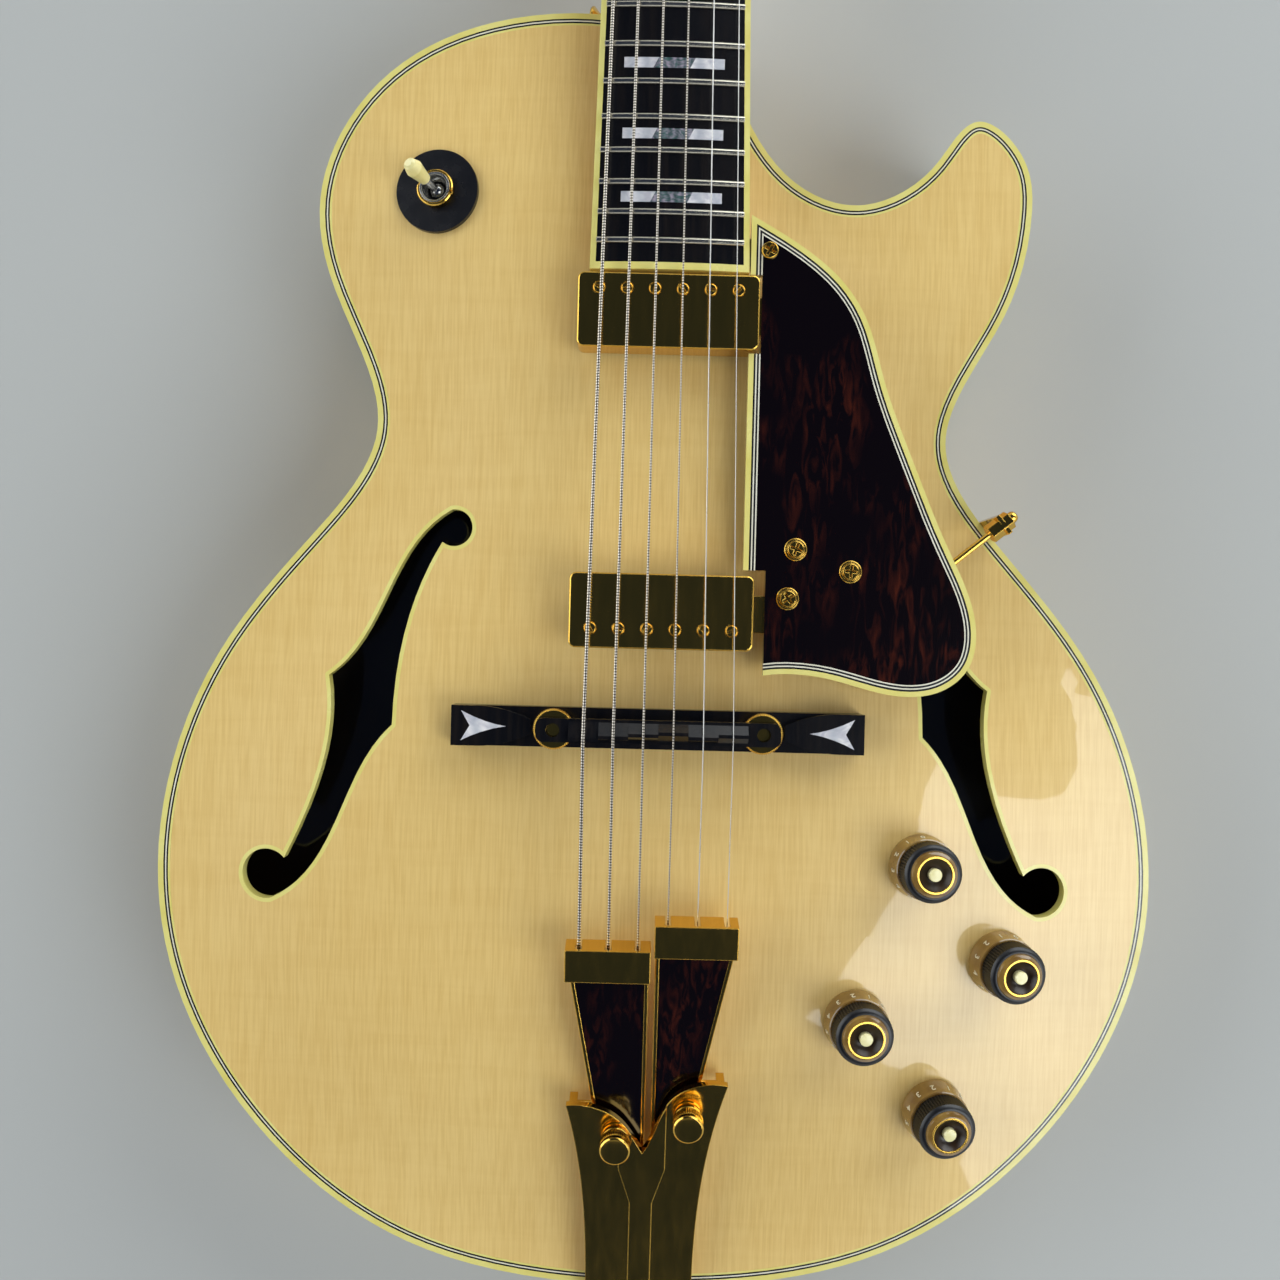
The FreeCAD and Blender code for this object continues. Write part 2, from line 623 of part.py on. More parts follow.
def inset_points(edge, length, distance):
    """Points along an edge, moved to the left of its way."""
    places = []
    for step in range(CURVE_STEPS + 1):
        at = edge.getParameterByLength(length * (step / CURVE_STEPS))
        way = edge.tangentAt(at)
        places.append(edge.valueAt(at) + Vector(-way.y, way.x, 0) * distance)
    return places


def outline_wire(distance):
    """The body outline drawn in by a distance."""
    places = inset_points(rim_curve, rim_curve.Length - (NOSE_RIGHT - NOSE_LOW).Length, distance)
    corner = NOSE_RIGHT - Vector(distance, distance, 0)
    edges = [
        smooth(places),
        Part.makeLine(places[-1], corner),
        Part.makeLine(corner, places[0]),
    ]
    return Part.Wire(edges)


def drawn_in(distance):
    """The flat area inside the body outline drawn in by a distance."""
    return Part.Face(outline_wire(distance))


def band(outer, inner, low, high):
    """A strip that follows the body edge between two insets."""
    ring = Part.makeFace([outline_wire(outer), outline_wire(inner)], "Part::FaceMakerBullseye")
    return upright(ring, low, high)


outline = outline_wire(0)

# Arching, a height over the plate's edge that grows with the distance from the outline
RIM_STEP = 5.0
GRID_STEP = 12.0
rim_points = outline.discretize(Distance=RIM_STEP)
# A straight rim's inverse sixth powers of distance add up to this share of its own
STRAIGHT_RIM = math.sqrt(math.pi) * math.gamma(2.5) / math.gamma(3.0)


def inside_rim(x, y):
    inside = False
    last = rim_points[-1]
    for here in rim_points:
        if (here.y > y) != (last.y > y):
            if x < (last.x - here.x) * (y - here.y) / (last.y - here.y) + here.x:
                inside = not inside
        last = here
    return inside


def arch_measure(x, y):
    """How far the arching has risen at a place, from 0 at the edge."""
    if not inside_rim(x, y):
        return 0.0
    total = 0.0
    for here in rim_points:
        total += RIM_STEP / max((here.x - x) ** 2 + (here.y - y) ** 2, 1e-6) ** 3
    distance = (total / STRAIGHT_RIM) ** -0.2 - mm("arch_flat")
    if distance <= 0:
        return 0.0
    recurve = 1 - math.exp(-((distance / mm("arch_edge_span")) ** 2))
    along = min(distance / mm("arch_dome_span"), 1.0)
    dome = along * along * (3 - 2 * along)
    return mm("arch_edge_share") * recurve + (1 - mm("arch_edge_share")) * dome


def arch_grid():
    limits = outline.BoundBox
    across = math.ceil(limits.XLength / GRID_STEP) + 2
    along = math.ceil(limits.YLength / GRID_STEP) + 2
    rows = []
    for column in range(across + 1):
        x = limits.XMin - GRID_STEP + column * GRID_STEP
        row = []
        for line in range(along + 1):
            y = limits.YMin - GRID_STEP + line * GRID_STEP
            row.append((x, y, arch_measure(x, y)))
        rows.append(row)
    return rows


arch_rows = arch_grid()
arch_peak = max(share for row in arch_rows for x, y, share in row)


def arched_face(edge_level, rise):
    """A carved surface over the whole body."""
    surface = Part.BSplineSurface()
    full = rise / arch_peak
    rows = []
    for row in arch_rows:
        rows.append([Vector(x, y, edge_level + full * share) for x, y, share in row])
    surface.interpolate(rows)
    return surface.toShape()


def top_height(x, y):
    return rim_top + mm("top_arch") * arch_measure(x, y) / arch_peak


def top_seat(x, y):
    """Placement on the top's surface, with Z square to it."""
    reach = GRID_STEP / 4
    fall_x = (top_height(x + reach, y) - top_height(x - reach, y)) / (2 * reach)
    fall_y = (top_height(x, y + reach) - top_height(x, y - reach)) / (2 * reach)
    return Placement(Vector(x, y, top_height(x, y)), Rotation(Z_AXIS, Vector(-fall_x, -fall_y, 1)))


def fitting_seat(name):
    """Seat of a fitting whose point is measured from the saddle line."""
    spot = point(name)
    return top_seat(spot.x, saddle_y + spot.y)


def rim_seat(x, y):
    """The rim point nearest to a place, and the way out of the body there."""
    nearest = min(rim_points, key=lambda here: (here.x - x) ** 2 + (here.y - y) ** 2)
    index = rim_points.index(nearest)
    along = rim_points[(index + 1) % len(rim_points)] - rim_points[index - 1]
    return nearest, Vector(along.y, -along.x, 0).normalize()


# Sound holes, an upper and a lower eye joined by two stems with notches
def eye_point(centre, radius, angle, side):
    turn = math.radians(angle)
    # angles are for the bass side hole, which lies at negative X
    return Vector(side * (centre.x - radius * math.cos(turn)), centre.y + radius * math.sin(turn), 0)


def hole_outline(side):
    upper = point("eye_upper")
    lower = point("eye_lower")
    top_in = mm("eye_upper_arrival")
    top_out = mm("eye_upper_nick")
    low_in = mm("eye_lower_arrival")
    low_out = mm("eye_lower_nick")

    def spot(name):
        return point(name, side)

    def on_upper(angle):
        return eye_point(upper, mm("eye_upper_radius"), angle, side)

    def on_lower(angle):
        return eye_point(lower, mm("eye_lower_radius"), angle, side)

    upper_turn = (top_in + top_out - 360) / 2
    lower_turn = (low_in - 360 + low_out) / 2
    inner_low = [spot("notch_inner"), spot("stem_inner_low"), spot("stem_inner_end"), on_lower(low_in)]
    outer_high = [spot("notch_outer"), spot("stem_outer_high"), spot("stem_outer_end"), on_upper(top_in)]
    edges = [
        Part.Arc(on_upper(top_in), on_upper(upper_turn), on_upper(top_out)).toShape(),
        smooth([on_upper(top_out), spot("stem_inner_high"), spot("stem_inner_mid"), spot("notch_inner")]),
        smooth(inner_low),
        Part.Arc(on_lower(low_in), on_lower(lower_turn), on_lower(low_out)).toShape(),
        smooth([on_lower(low_out), spot("stem_outer_low"), spot("stem_outer_mid"), spot("notch_outer")]),
        smooth(outer_high),
    ]
    wire = Part.Wire(edges)
    wire.translate(Vector(0, saddle_y, 0))
    return wire


KNOBS = ["knob_neck_volume", "knob_bridge_volume", "knob_neck_tone", "knob_bridge_tone"]
SWITCH = fitting_seat("switch")

# Carved top with its sound holes, edge rabbet and control holes
top_skin = arched_face(rim_top, mm("top_arch"))
top_under = mm("top_thickness") + mm("plate_land")
top_slab = top_skin.extrude(Vector(0, 0, -top_under))
plate_inset = mm("binding_width")
black_edge = plate_inset + mm("line_black")
white_edge = black_edge + mm("line_white")
second_edge = white_edge + mm("line_black")
cream_edge = second_edge + mm("line_cream")
line_floor = rim_top - mm("line_depth")
hole_openings = []
hole_blanks = []
EDGE_STEPS = 16


def redrawn(wire):
    """A closed outline with each of its edges drawn again as a plain smooth edge."""
    edges = [smooth(edge.discretize(Number=EDGE_STEPS)) for edge in wire.OrderedEdges]
    return Part.Wire(Part.__sortEdges__(edges))


for side in (-1, 1):
    hole_wire = redrawn(hole_outline(side))
    hole_rim = redrawn(Part.Face(hole_wire).makeOffset2D(mm("hole_binding")).OuterWire)
    hole_openings.append(upright(Part.Face(hole_wire), side_high, crown))
    hole_blanks.append(upright(Part.Face(hole_rim), side_high, crown))


def control_hole(seat, radius):
    reach = 2 * mm("top_thickness")
    hole = Part.makeCylinder(radius, 2 * reach, Vector(0, 0, -reach))
    return moved(hole, seat)


def top_plate():
    blank = top_slab.common(upright(drawn_in(plate_inset), side_high, crown + mm("top_arch")))
    cuts = [band(plate_inset, cream_edge, line_floor, crown)] + hole_blanks
    cuts += [control_hole(fitting_seat(name), mm("pot_bushing") + mm("pot_room")) for name in KNOBS]
    cuts.append(control_hole(SWITCH, mm("switch_bushing") + mm("pot_room")))
    return blank.cut(cuts)


feature("top_plate", top_plate())

# Arched back
back_skin = arched_face(rim_low, -mm("back_arch"))
back_slab = back_skin.extrude(Vector(0, 0, mm("back_thickness") + mm("plate_land")))
feature("back_plate", back_slab.common(upright(drawn_in(plate_inset), -rim_low, side_low)))

# Bent sides, with the jack hole and the mortise for the neck
jack_spot, jack_way = rim_seat(point("lower_bout").x, mm("jack_from_tail"))
JACK = Placement(Vector(jack_spot.x, jack_spot.y, mm("jack_level")), Rotation(Z_AXIS, jack_way))
tenon_limits = (
    (-mm("tenon_half_width"), mm("tenon_half_width")),
    (mm("body_length") - mm("tenon_length"), mm("body_length")),
    (side_low + mm("tenon_inset"), side_high - mm("tenon_inset")),
)
tenon = box(*tenon_limits)
jack_radius = mm("jack_sleeve") + mm("jack_room")
jack_drill = Part.makeCylinder(jack_radius, 2 * mm("jack_flange"), Vector(0, 0, -mm("jack_flange")))
rim_wall = band(0, mm("side_thickness"), side_low, side_high)
feature("sides", rim_wall.cut([moved(jack_drill, JACK), tenon]))

# Cream binding of the edges and the sound holes, the inner cream line, and the lines between them
hole_rings = [blank.cut(opening) for blank, opening in zip(hole_blanks, hole_openings)]
edge_strips = [
    band(0, plate_inset, side_high, rim_top),
    band(0, plate_inset, rim_low, side_low),
    band(second_edge, cream_edge, line_floor, rim_top),
]
feature("body_binding", Part.makeCompound(edge_strips + [top_slab.common(ring) for ring in hole_rings]))
top_black = [
    band(plate_inset, black_edge, line_floor, rim_top),
    band(white_edge, second_edge, line_floor, rim_top),
]
top_white = [band(black_edge, white_edge, line_floor, rim_top)]

# Blocks and linings inside the rim
inner_room = upright(drawn_in(mm("side_thickness")), side_low, side_high)
neck_block_box = box(
    (-mm("nose_half_width") - mm("lining_width"), mm("nose_half_width")),
    (mm("body_length") - mm("neck_block_depth"), mm("body_length")),
    (side_low, side_high),
)
tail_block_box = box(
    (-mm("tail_block_half_width"), mm("tail_block_half_width")),
    (0, mm("side_thickness") + mm("tail_block_depth")),
    (side_low, side_high),
)
blocks = [inner_room.common(neck_block_box).cut(tenon), inner_room.common(tail_block_box)]
lining_inner = mm("side_thickness") + mm("lining_width")
lining_strips = [
    band(mm("side_thickness"), lining_inner, side_low, side_low + mm("lining_height")),
    band(mm("side_thickness"), lining_inner, side_high - mm("lining_height"), side_high),
]
jack_room = 2 * mm("jack_length")
jack_pocket = Part.makeCylinder(mm("jack_flange"), jack_room, Vector(0, 0, -jack_room))
lining_cuts = [neck_block_box, tail_block_box, moved(jack_pocket, JACK)]
feature("inner_frame", Part.makeCompound(blocks + [strip.cut(lining_cuts) for strip in lining_strips]))


# Tone bars, fitted to the inside of the top
def tone_bar(side):
    under = top_skin.copy()
    under.translate(Vector(0, 0, -top_under))
    blank = under.extrude(Vector(0, 0, -mm("tone_bar_height")))
    half = mm("tone_bar_width") / 2
    reach = mm("tone_bar_length") / 2
    strip = box((-half, half), (-reach, reach), (side_low, crown))
    strip.rotate(Vector(0, 0, 0), Z_AXIS, side * mm("tone_bar_splay"))
    strip.translate(Vector(side * mm("tone_bar_offset"), saddle_y, 0))
    return blank.common(strip)


feature("tone_bars", Part.makeCompound([tone_bar(-1), tone_bar(1)]))


# Board, in the frame of the neck: the nut at Y = 0, the crown line at Z = 0
def fret_place(number):
    return -mm("scale_length") * (1 - 2 ** (-number / 12))


fret_count = int(mm("fret_count"))
board_end = fret_place(fret_count) - mm("board_past_fret")


def board_half(y):
    """Half width of the bound board at a distance along it."""
    return (mm("nut_width") + (mm("board_end_width") - mm("nut_width")) * y / board_end) / 2


def taper(near, near_half, far, far_half):
    """Plan with straight sides between two half widths."""
    corners = [(-near_half, near), (near_half, near), (far_half, far), (-far_half, far)]
    return polygon([Vector(x, y, 0) for x, y in corners])


def board_prism(side_inset, end_inset, low, high):
    far = board_end + end_inset
    near_half = board_half(0) - side_inset
    far_half = board_half(far) - side_inset
    return upright(taper(0, near_half, far, far_half), low, high)


def board_crown(extra):
    radius = mm("board_radius")
    return Part.makeCylinder(radius + extra, -3 * board_end, Vector(0, 2 * board_end, -radius), Y_AXIS)


def inlay_prism(number, half, slant):
    middle = (fret_place(number) + fret_place(number - 1)) / 2
    low = middle - mm("inlay_length") / 2
    high = middle + mm("inlay_length") / 2
    corners = [
        Vector(-half - slant, low, 0),
        Vector(half - slant, low, 0),
        Vector(half + slant, high, 0),
        Vector(-half + slant, high, 0),
    ]
    return upright(polygon(corners), -mm("inlay_depth"), mm("fret_height"))


board_span = (-mm("board_thickness"), mm("fret_height"))
board_blank = board_prism(0, 0, *board_span).common(board_crown(0))
bound_room = board_prism(mm("board_binding"), mm("board_end_binding"), *board_span)
INLAID_FRETS = [1, 3, 5, 7, 9, 12, 15, 17, 19, 21]
block_cuts = [inlay_prism(number, mm("inlay_width") / 2, 0) for number in INLAID_FRETS]
middle_cuts = [inlay_prism(number, mm("inlay_middle") / 2, mm("inlay_slant") / 2) for number in INLAID_FRETS]
board_core = board_blank.common(bound_room)
inlay_blanks = [board_core.common(cut) for cut in block_cuts]
pearl_blocks = [blank.cut(middle) for blank, middle in zip(inlay_blanks, middle_cuts)]
abalone = [blank.common(middle) for blank, middle in zip(inlay_blanks, middle_cuts)]
feature("fretboard", board_core.cut(block_cuts), NECK)
feature("fretboard_binding", board_blank.cut(bound_room), NECK)
feature("abalone_inlays", Part.makeCompound(abalone), NECK)


# Frets, a low crown turned about the axis of the board's curve
def fret(number):
    y = fret_place(number)
    half_width = mm("fret_width") / 2
    radius = mm("board_radius")
    spread = math.degrees(math.asin((board_half(y) - mm("board_binding")) / radius))
    start = Vector(0, y - half_width, 0)
    end = Vector(0, y + half_width, 0)
    crest = Part.Arc(start, Vector(0, y, mm("fret_height")), end).toShape()
    face = Part.Face(Part.Wire([crest, Part.makeLine(end, start)]))
    axis = Vector(0, 0, -radius)
    face.rotate(axis, Y_AXIS, -spread)
    return face.revolve(axis, Y_AXIS, 2 * spread)


feature("frets", Part.makeCompound([fret(number) for number in range(1, fret_count + 1)]), NECK)

# Strings, from low to high
STRINGS = ["low_e", "a", "d", "g", "b", "high_e"]


def string_across(index, spread):
    return spread * (index / (len(STRINGS) - 1) - 0.5)


def crown_fall(x):
    """Fall of the board's curve away from the middle."""
    return x * x / (2 * mm("board_radius"))


def gauge(index):
    return mm("gauge_" + STRINGS[index]) / 2


def saddle_contact(index):
    """Underside of a string on the saddle."""
    x = string_across(index, mm("saddle_spread"))
    return Vector(x, saddle_y - mm("back_" + STRINGS[index]), string_level - crown_fall(x))


def nut_contact(index, along):
    """Underside of a string over the nut, in the frame of the neck."""
    x = string_across(index, mm("nut_spread"))
    return Vector(x, along, mm("nut_slot_height") - crown_fall(x))


# Nut with a slot for each string
def nut():
    half = mm("nut_width") / 2
    blank = box((-half, half), (0, mm("nut_thickness")), (-mm("board_thickness"), 2 * mm("nut_rise")))
    blank = blank.common(board_crown(mm("nut_rise")))
    slots = []
    for index in range(len(STRINGS)):
        foot = nut_contact(index, 0)
        room = gauge(index) + mm("nut_slot_room")
        span_y = (-mm("nut_thickness"), 2 * mm("nut_thickness"))
        span_z = (foot.z - mm("nut_slot_room"), 2 * mm("nut_rise"))
        slots.append(box((foot.x - room, foot.x + room), span_y, span_z))
    return blank.cut(slots)


feature("nut", nut(), NECK)


# Head outline: a flare from the nut, straight sides and a low crest
def head_face():
    foot = mm("nut_width") / 2
    flare = mm("head_flare")
    flare_at = mm("head_flare_at")
    corner = Vector(mm("head_shoulder"), mm("head_shoulder_at"), 0)
    crest = Vector(0, mm("head_length"), 0)
    edges = []
    for side in (1, -1):
        start = Vector(side * foot, 0, 0)
        wide = Vector(side * flare, flare_at, 0)
        far = Vector(side * corner.x, corner.y, 0)
        run = (far - wide).normalize() * (crest.y - far.y)
        level = Vector(0, flare_at / 2, 0)
        edges += [
            bend([start, start + level, wide - level, wide]),
            Part.makeLine(wide, far),
            bend([far, far + run, crest + Vector(side * corner.x / 2, 0, 0), crest]),
        ]
    edges.append(Part.makeLine(Vector(-foot, 0, 0), Vector(foot, 0, 0)))
    return Part.Face(Part.Wire(Part.__sortEdges__(edges)))


TUNERS_A_SIDE = 3
TUNERS = 2 * TUNERS_A_SIDE


def tuner_spot(number):
    """Post of a tuner on the head, the first three on the bass side."""
    side = -1 if number < TUNERS_A_SIDE else 1
    step = number % TUNERS_A_SIDE
    return Vector(side * mm("tuner_offset"), mm("tuner_first") + step * mm("tuner_step"), 0)


head_through = Z_AXIS * 2 * mm("head_thickness")
post_holes = [
    Part.makeCylinder(mm("bushing_radius"), 2 * head_through.z, tuner_spot(number) - head_through)
    for number in range(TUNERS)
]


# Neck: a rounded shaft, a heel with its tenon, wood under the board's end, and the head
def neck_section(y, depth):
    """Half an oval under the board."""
    half = board_half(min(y, 0))
    centre = Vector(0, y, -mm("board_thickness"))
    right = centre + X_AXIS * half
    oval = Part.Ellipse(right, centre - Z_AXIS * depth, centre)
    return Part.Wire([Part.Arc(oval, 0, math.pi).toShape(), Part.makeLine(centre - X_AXIS * half, right)])


body_end = mm("body_length")
shaft_end = -(nut_y - body_end) / math.cos(pitch)
under_board = NECK.multVec(Vector(0, shaft_end, -mm("board_thickness")))


def heel():
    shaft_low = NECK.multVec(
        Vector(0, shaft_end + mm("heel_reach"), -mm("board_thickness") - mm("heel_depth"))
    )
    foot = Vector(0, body_end + mm("heel_cap"), mm("heel_low"))
    sweep = Vector(0, body_end + mm("heel_sweep"), (foot.z + shaft_low.z) / 2)
    top = Vector(0, shaft_low.y, under_board.z - mm("heel_reach") * math.tan(pitch))
    corner = Vector(0, body_end, under_board.z)
    low = Vector(0, body_end, mm("heel_low"))
    edges = [
        Part.makeLine(corner, low),
        Part.makeLine(low, foot),
        Part.Arc(foot, sweep, shaft_low).toShape(),
        Part.makeLine(shaft_low, top),
        Part.makeLine(top, corner),
    ]
    reach = 2 * board_half(board_end)
    blank = Part.Face(Part.Wire(edges)).extrude(Vector(reach, 0, 0))
    blank.translate(Vector(-reach / 2, 0, 0))
    far = body_end + 2 * mm("heel_reach")
    sections = []
    for level, half in ((0, mm("heel_foot_half_width")), (under_board.z, board_half(shaft_end))):
        corners = [Vector(x, y, level) for x, y in ((-half, 0), (half, 0), (half, far), (-half, far))]
        sections.append(Part.makePolygon(corners + corners[:1]))
    return blank.common(Part.makeLoft(sections, True, True))


def extension():
    inset = mm("extension_inset")
    far = board_end + mm("extension_short")
    near_half = board_half(shaft_end) - inset
    far_half = board_half(far) - inset
    near = shaft_end + mm("extension_depth")
    level = -mm("board_thickness")
    return upright(taper(near, near_half, far, far_half), level - mm("extension_depth"), level)


guard_top_screw = point("guard_screw_top") + Vector(0, saddle_y, 0)


def guard_ledge():
    """Block beside the board's end, under the pickguard's upper screw."""
    reach = mm("ledge_reach")
    span_y = (guard_top_screw.y - reach, guard_top_screw.y + reach)
    level = (mm("guard_level") - mm("extension_depth"), mm("guard_level"))
    return box((0, guard_top_screw.x + reach), span_y, level)


def neck():
    sections = [
        neck_section(mm("nut_thickness"), mm("neck_depth_nut")),
        neck_section(shaft_end, mm("neck_depth_heel")),
    ]
    shaft = moved(Part.makeLoft(sections, True, True), NECK)
    plate = moved(upright(head_face(), -mm("head_thickness"), 0).cut(post_holes), HEAD)
    board_room = moved(board_prism(0, 0, *board_span), NECK)
    ledge = guard_ledge().cut(board_room)
    wood = joined([shaft, heel(), moved(extension(), NECK), ledge, plate])
    half = mm("nut_width")
    body_room = box((-half, half), (0, body_end), (0, rim_top + mm("line_depth")))
    veneer = moved(upright(head_face(), 0, 2 * mm("head_drop")), HEAD)
    nut_block = box((-half, half), (0, mm("nut_thickness")), (-mm("board_thickness"), mm("nut_rise")))
    nut_room = moved(nut_block, NECK)
    rod_channel = moved(truss_blank(mm("truss_room")), NECK)
    wood = wood.cut([body_room, veneer, nut_room, rod_channel])
    return joined([wood, tenon])


def truss_blank(room):
    level = -mm("board_thickness") - mm("truss_depth")
    end = Vector(0, -mm("truss_length"), level)
    return Part.makeCylinder(mm("truss_radius") + room, mm("truss_length"), end, Y_AXIS)


feature("neck", neck())
feature("truss_rod", truss_blank(0), NECK)
feature("head_overlay", upright(head_face(), 0, mm("overlay_thickness")).cut(post_holes), HEAD)
COVER = HEAD.multiply(Placement(Vector(0, 0, mm("overlay_thickness")), FLAT))
padded_body(
    "truss_rod_cover",
    [
        ("cover_foot", "cover_start"),
        ("cover_tip", "cover_start + cover_length"),
        ("- cover_tip", "cover_start + cover_length"),
        ("- cover_foot", "cover_start"),
    ],
    "cover_thickness",
    COVER,
)


# Tuners: a housing with its bushing, a post and a button on a shaft
def tuner_housing(number):
    spot = tuner_spot(number)
    half_x = mm("housing_width") / 2
    half_y = mm("housing_length") / 2
    low = -mm("head_thickness") - mm("housing_height")
    case = box((-half_x, half_x), (-half_y, half_y), (low, -mm("head_thickness")))
    case = case.makeFillet(mm("button_shaft_radius"), case.Edges)
    flange_low = mm("overlay_thickness")
    tube_foot = Vector(0, 0, low + mm("housing_height") / 2)
    tube = Part.makeCylinder(mm("bushing_radius"), flange_low + mm("housing_height") - low, tube_foot)
    tube = tube.common(box((-half_x, half_x), (-half_y, half_y), (low, flange_low)))
    flange = Part.makeCylinder(mm("bushing_flange"), mm("bushing_flange_height"), Vector(0, 0, flange_low))
    bore_foot = Vector(0, 0, -mm("head_thickness") - mm("post_tail"))
    bore = Part.makeCylinder(mm("post_radius") + mm("tuner_fit"), 2 * mm("head_thickness"), bore_foot)
    side = -1 if spot.x < 0 else 1
    level = -mm("head_thickness") - mm("worm_axis_depth")
    worm = Part.makeCylinder(
        mm("button_shaft_radius") + mm("tuner_fit"),
        2 * mm("button_shaft_bore"),
        Vector(side * (half_x - mm("button_shaft_bore")), 0, level),
        X_AXIS * side,
    )
    solid = joined([case, tube, flange]).cut([bore, worm])
    solid.translate(spot)
    return solid


feature("tuner_housings", Part.makeCompound([tuner_housing(number) for number in range(TUNERS)]), HEAD)


def tuner_button():
    """Button with its shaft, along its own X axis from the housing's face."""
    shaft_start = mm("tuner_fit") - mm("button_shaft_bore")
    length = mm("button_stand") + mm("button_shaft_bore")
    shaft = Part.makeCylinder(mm("button_shaft_radius"), length, Vector(shaft_start, 0, 0), X_AXIS)
    oval = Part.Ellipse(Vector(0, 0, 0), mm("button_width") / 2, mm("button_length") / 2).toShape()
    grip = Part.Face(Part.Wire(oval)).extrude(Vector(0, 0, mm("button_thickness")))
    rounding = mm("button_thickness") / 3
    rims = [edge for edge in grip.Edges if edge.BoundBox.ZLength < rounding]
    grip = grip.makeFillet(rounding, rims)
    grip.rotate(Vector(0, 0, 0), Z_AXIS, 90)
    grip.translate(Vector(mm("button_stand") + mm("button_length") / 2, 0, -mm("button_thickness") / 2))
    return joined([shaft, grip])


def button_seat(number):
    """Where a button's shaft leaves its housing, with X along the shaft."""
    spot = tuner_spot(number)
    side = -1 if spot.x < 0 else 1
    level = -mm("head_thickness") - mm("worm_axis_depth")
    place = Vector(spot.x + side * mm("housing_width") / 2, spot.y, level)
    return HEAD.multiply(Placement(place, Rotation(Z_AXIS, 0 if side > 0 else 180)))


def post_seat(number):
    return HEAD.multiply(Placement(tuner_spot(number), FLAT))


for number in range(TUNERS):
    feature(f"tuner_button_{number + 1}", tuner_button(), button_seat(number))
    turned_body(
        f"tuner_post_{number + 1}",
        [
            ("0", "tuner_fit - head_thickness - post_tail"),
            ("post_radius", "tuner_fit - head_thickness - post_tail"),
            ("post_radius", "overlay_thickness + post_groove_low"),
            ("post_waist", "overlay_thickness + post_groove_low + tuner_fit"),
            ("post_waist", "overlay_thickness + post_groove_high"),
            ("post_radius", "overlay_thickness + post_groove_high + tuner_fit"),
            ("post_radius", "overlay_thickness + post_rise"),
            ("0", "overlay_thickness + post_rise"),
        ],
        post_seat(number),
    )

# Tailpiece, drawn in its own sloping plane: Y up the slope, Z square to it
bar_rows = {"bass": (-1, range(0, 3)), "treble": (1, range(3, 6))}


TAIL_MIDDLE = Vector(-mm("tail_across"), 0, 0)


def tail_base_face():
    width = mm("tail_half_width")
    sides = {}
    for side, tip in ((-1, "tail_bass_tip"), (1, "tail_treble_tip")):
        foot = Vector(side * width, -mm("tail_plate"), 0)
        sides[side] = [foot, point("tail_flank", side), point("tail_upper", side), point(tip, side)]
    fork = point("tail_fork")
    places = ("tip", "bend", "rise", "inner")
    bass = [point("tail_bass_" + place, -1) for place in places] + [fork]
    treble = [point("tail_treble_" + place) for place in places] + [fork]
    edges = [smooth(sides[-1]), smooth(bass), smooth(treble[::-1]), smooth(sides[1][::-1])]
    edges.append(Part.makeLine(sides[1][0], sides[-1][0]))
    face = Part.Face(Part.Wire(edges))
    face.translate(TAIL_MIDDLE)
    return face


def screw_spot(half):
    return point(half + "_screw", bar_rows[half][0])


def pin_place(half):
    return screw_spot(half).y + mm("arm_lever")


def arm_edge(half, along):
    """Outer edge of an arm, across from the centre line."""
    low = point(half + "_arm_low")
    high = point(half + "_arm_high")
    return low.x + (high.x - low.x) * (along - low.y) / (high.y - low.y)


arm_top = -mm("arm_gap")
arm_low = arm_top - mm("arm_thickness")
pin_level = (arm_top + arm_low) / 2


def lug(half):
    """Ear under the base that carries the hinge pin of one arm."""
    side = bar_rows[half][0]
    along = pin_place(half)
    tip = point(f"tail_{half}_tip", side) + TAIL_MIDDLE
    outer = abs(tip.x) - mm("lug_inset")
    spans = sorted((side * outer, side * (outer - mm("lug_width"))))
    span_y = (along - mm("arm_thickness") / 2, tip.y - mm("lug_inset"))
    ear = box(spans, span_y, (-mm("lug_drop"), mm("tail_plate") / 2))
    start = Vector(screw_spot(half).x, along, pin_level)
    pin = Part.makeCylinder(mm("arm_pin_radius"), outer - abs(start.x), start, X_AXIS * side)
    return [ear, pin]


def tail_spine(face):
    """Raised middle of the base, which widens to both arms of the fork."""
    low = -mm("tail_plate")
    straight = point("spine_straight")
    wide = point("spine_wide")
    far = mm("tail_treble_tip_y")
    right = [Vector(straight.x, low, 0), straight, wide, Vector(wide.x, far, 0)]
    left = [Vector(-spot.x, spot.y, 0) for spot in reversed(right)]
    plan = polygon(right + left)
    plan.translate(TAIL_MIDDLE)
    top = mm("tail_plate") + mm("spine_height")
    ridge = upright(plan, mm("tail_plate"), top).common(upright(face, 0, top))
    room = mm("thumb_radius") + mm("spine_room")
    return ridge.cut([Part.makeCylinder(room, 2 * top, screw_spot(half)) for half in bar_rows])


def tailpiece_base():
    face = tail_base_face()
    plate = upright(face, 0, mm("tail_plate"))
    deep = 2 * mm("tail_plate")
    radius = mm("thumb_stem") + mm("thumb_fit")
    holes = [Part.makeCylinder(radius, 2 * deep, screw_spot(half) - Z_AXIS * deep) for half in bar_rows]
    pieces = [plate.cut(holes), tail_spine(face)] + lug("bass") + lug("treble")
    sloped = [moved(piece, TAIL) for piece in pieces]
    width = mm("tail_half_width")
    leg_top = TAIL.multVec(Vector(0, 0, mm("tail_plate") / 2)).z
    leg = box((-width, width), (-mm("tail_plate"), 0), (mm("tail_leg_low"), leg_top))
    leg.translate(TAIL_MIDDLE)
    corner = box((-2 * width, 2 * width), (-4 * mm("tail_plate"), -mm("tail_plate")), (0, string_level))
    return joined([leg] + sloped).cut(corner)


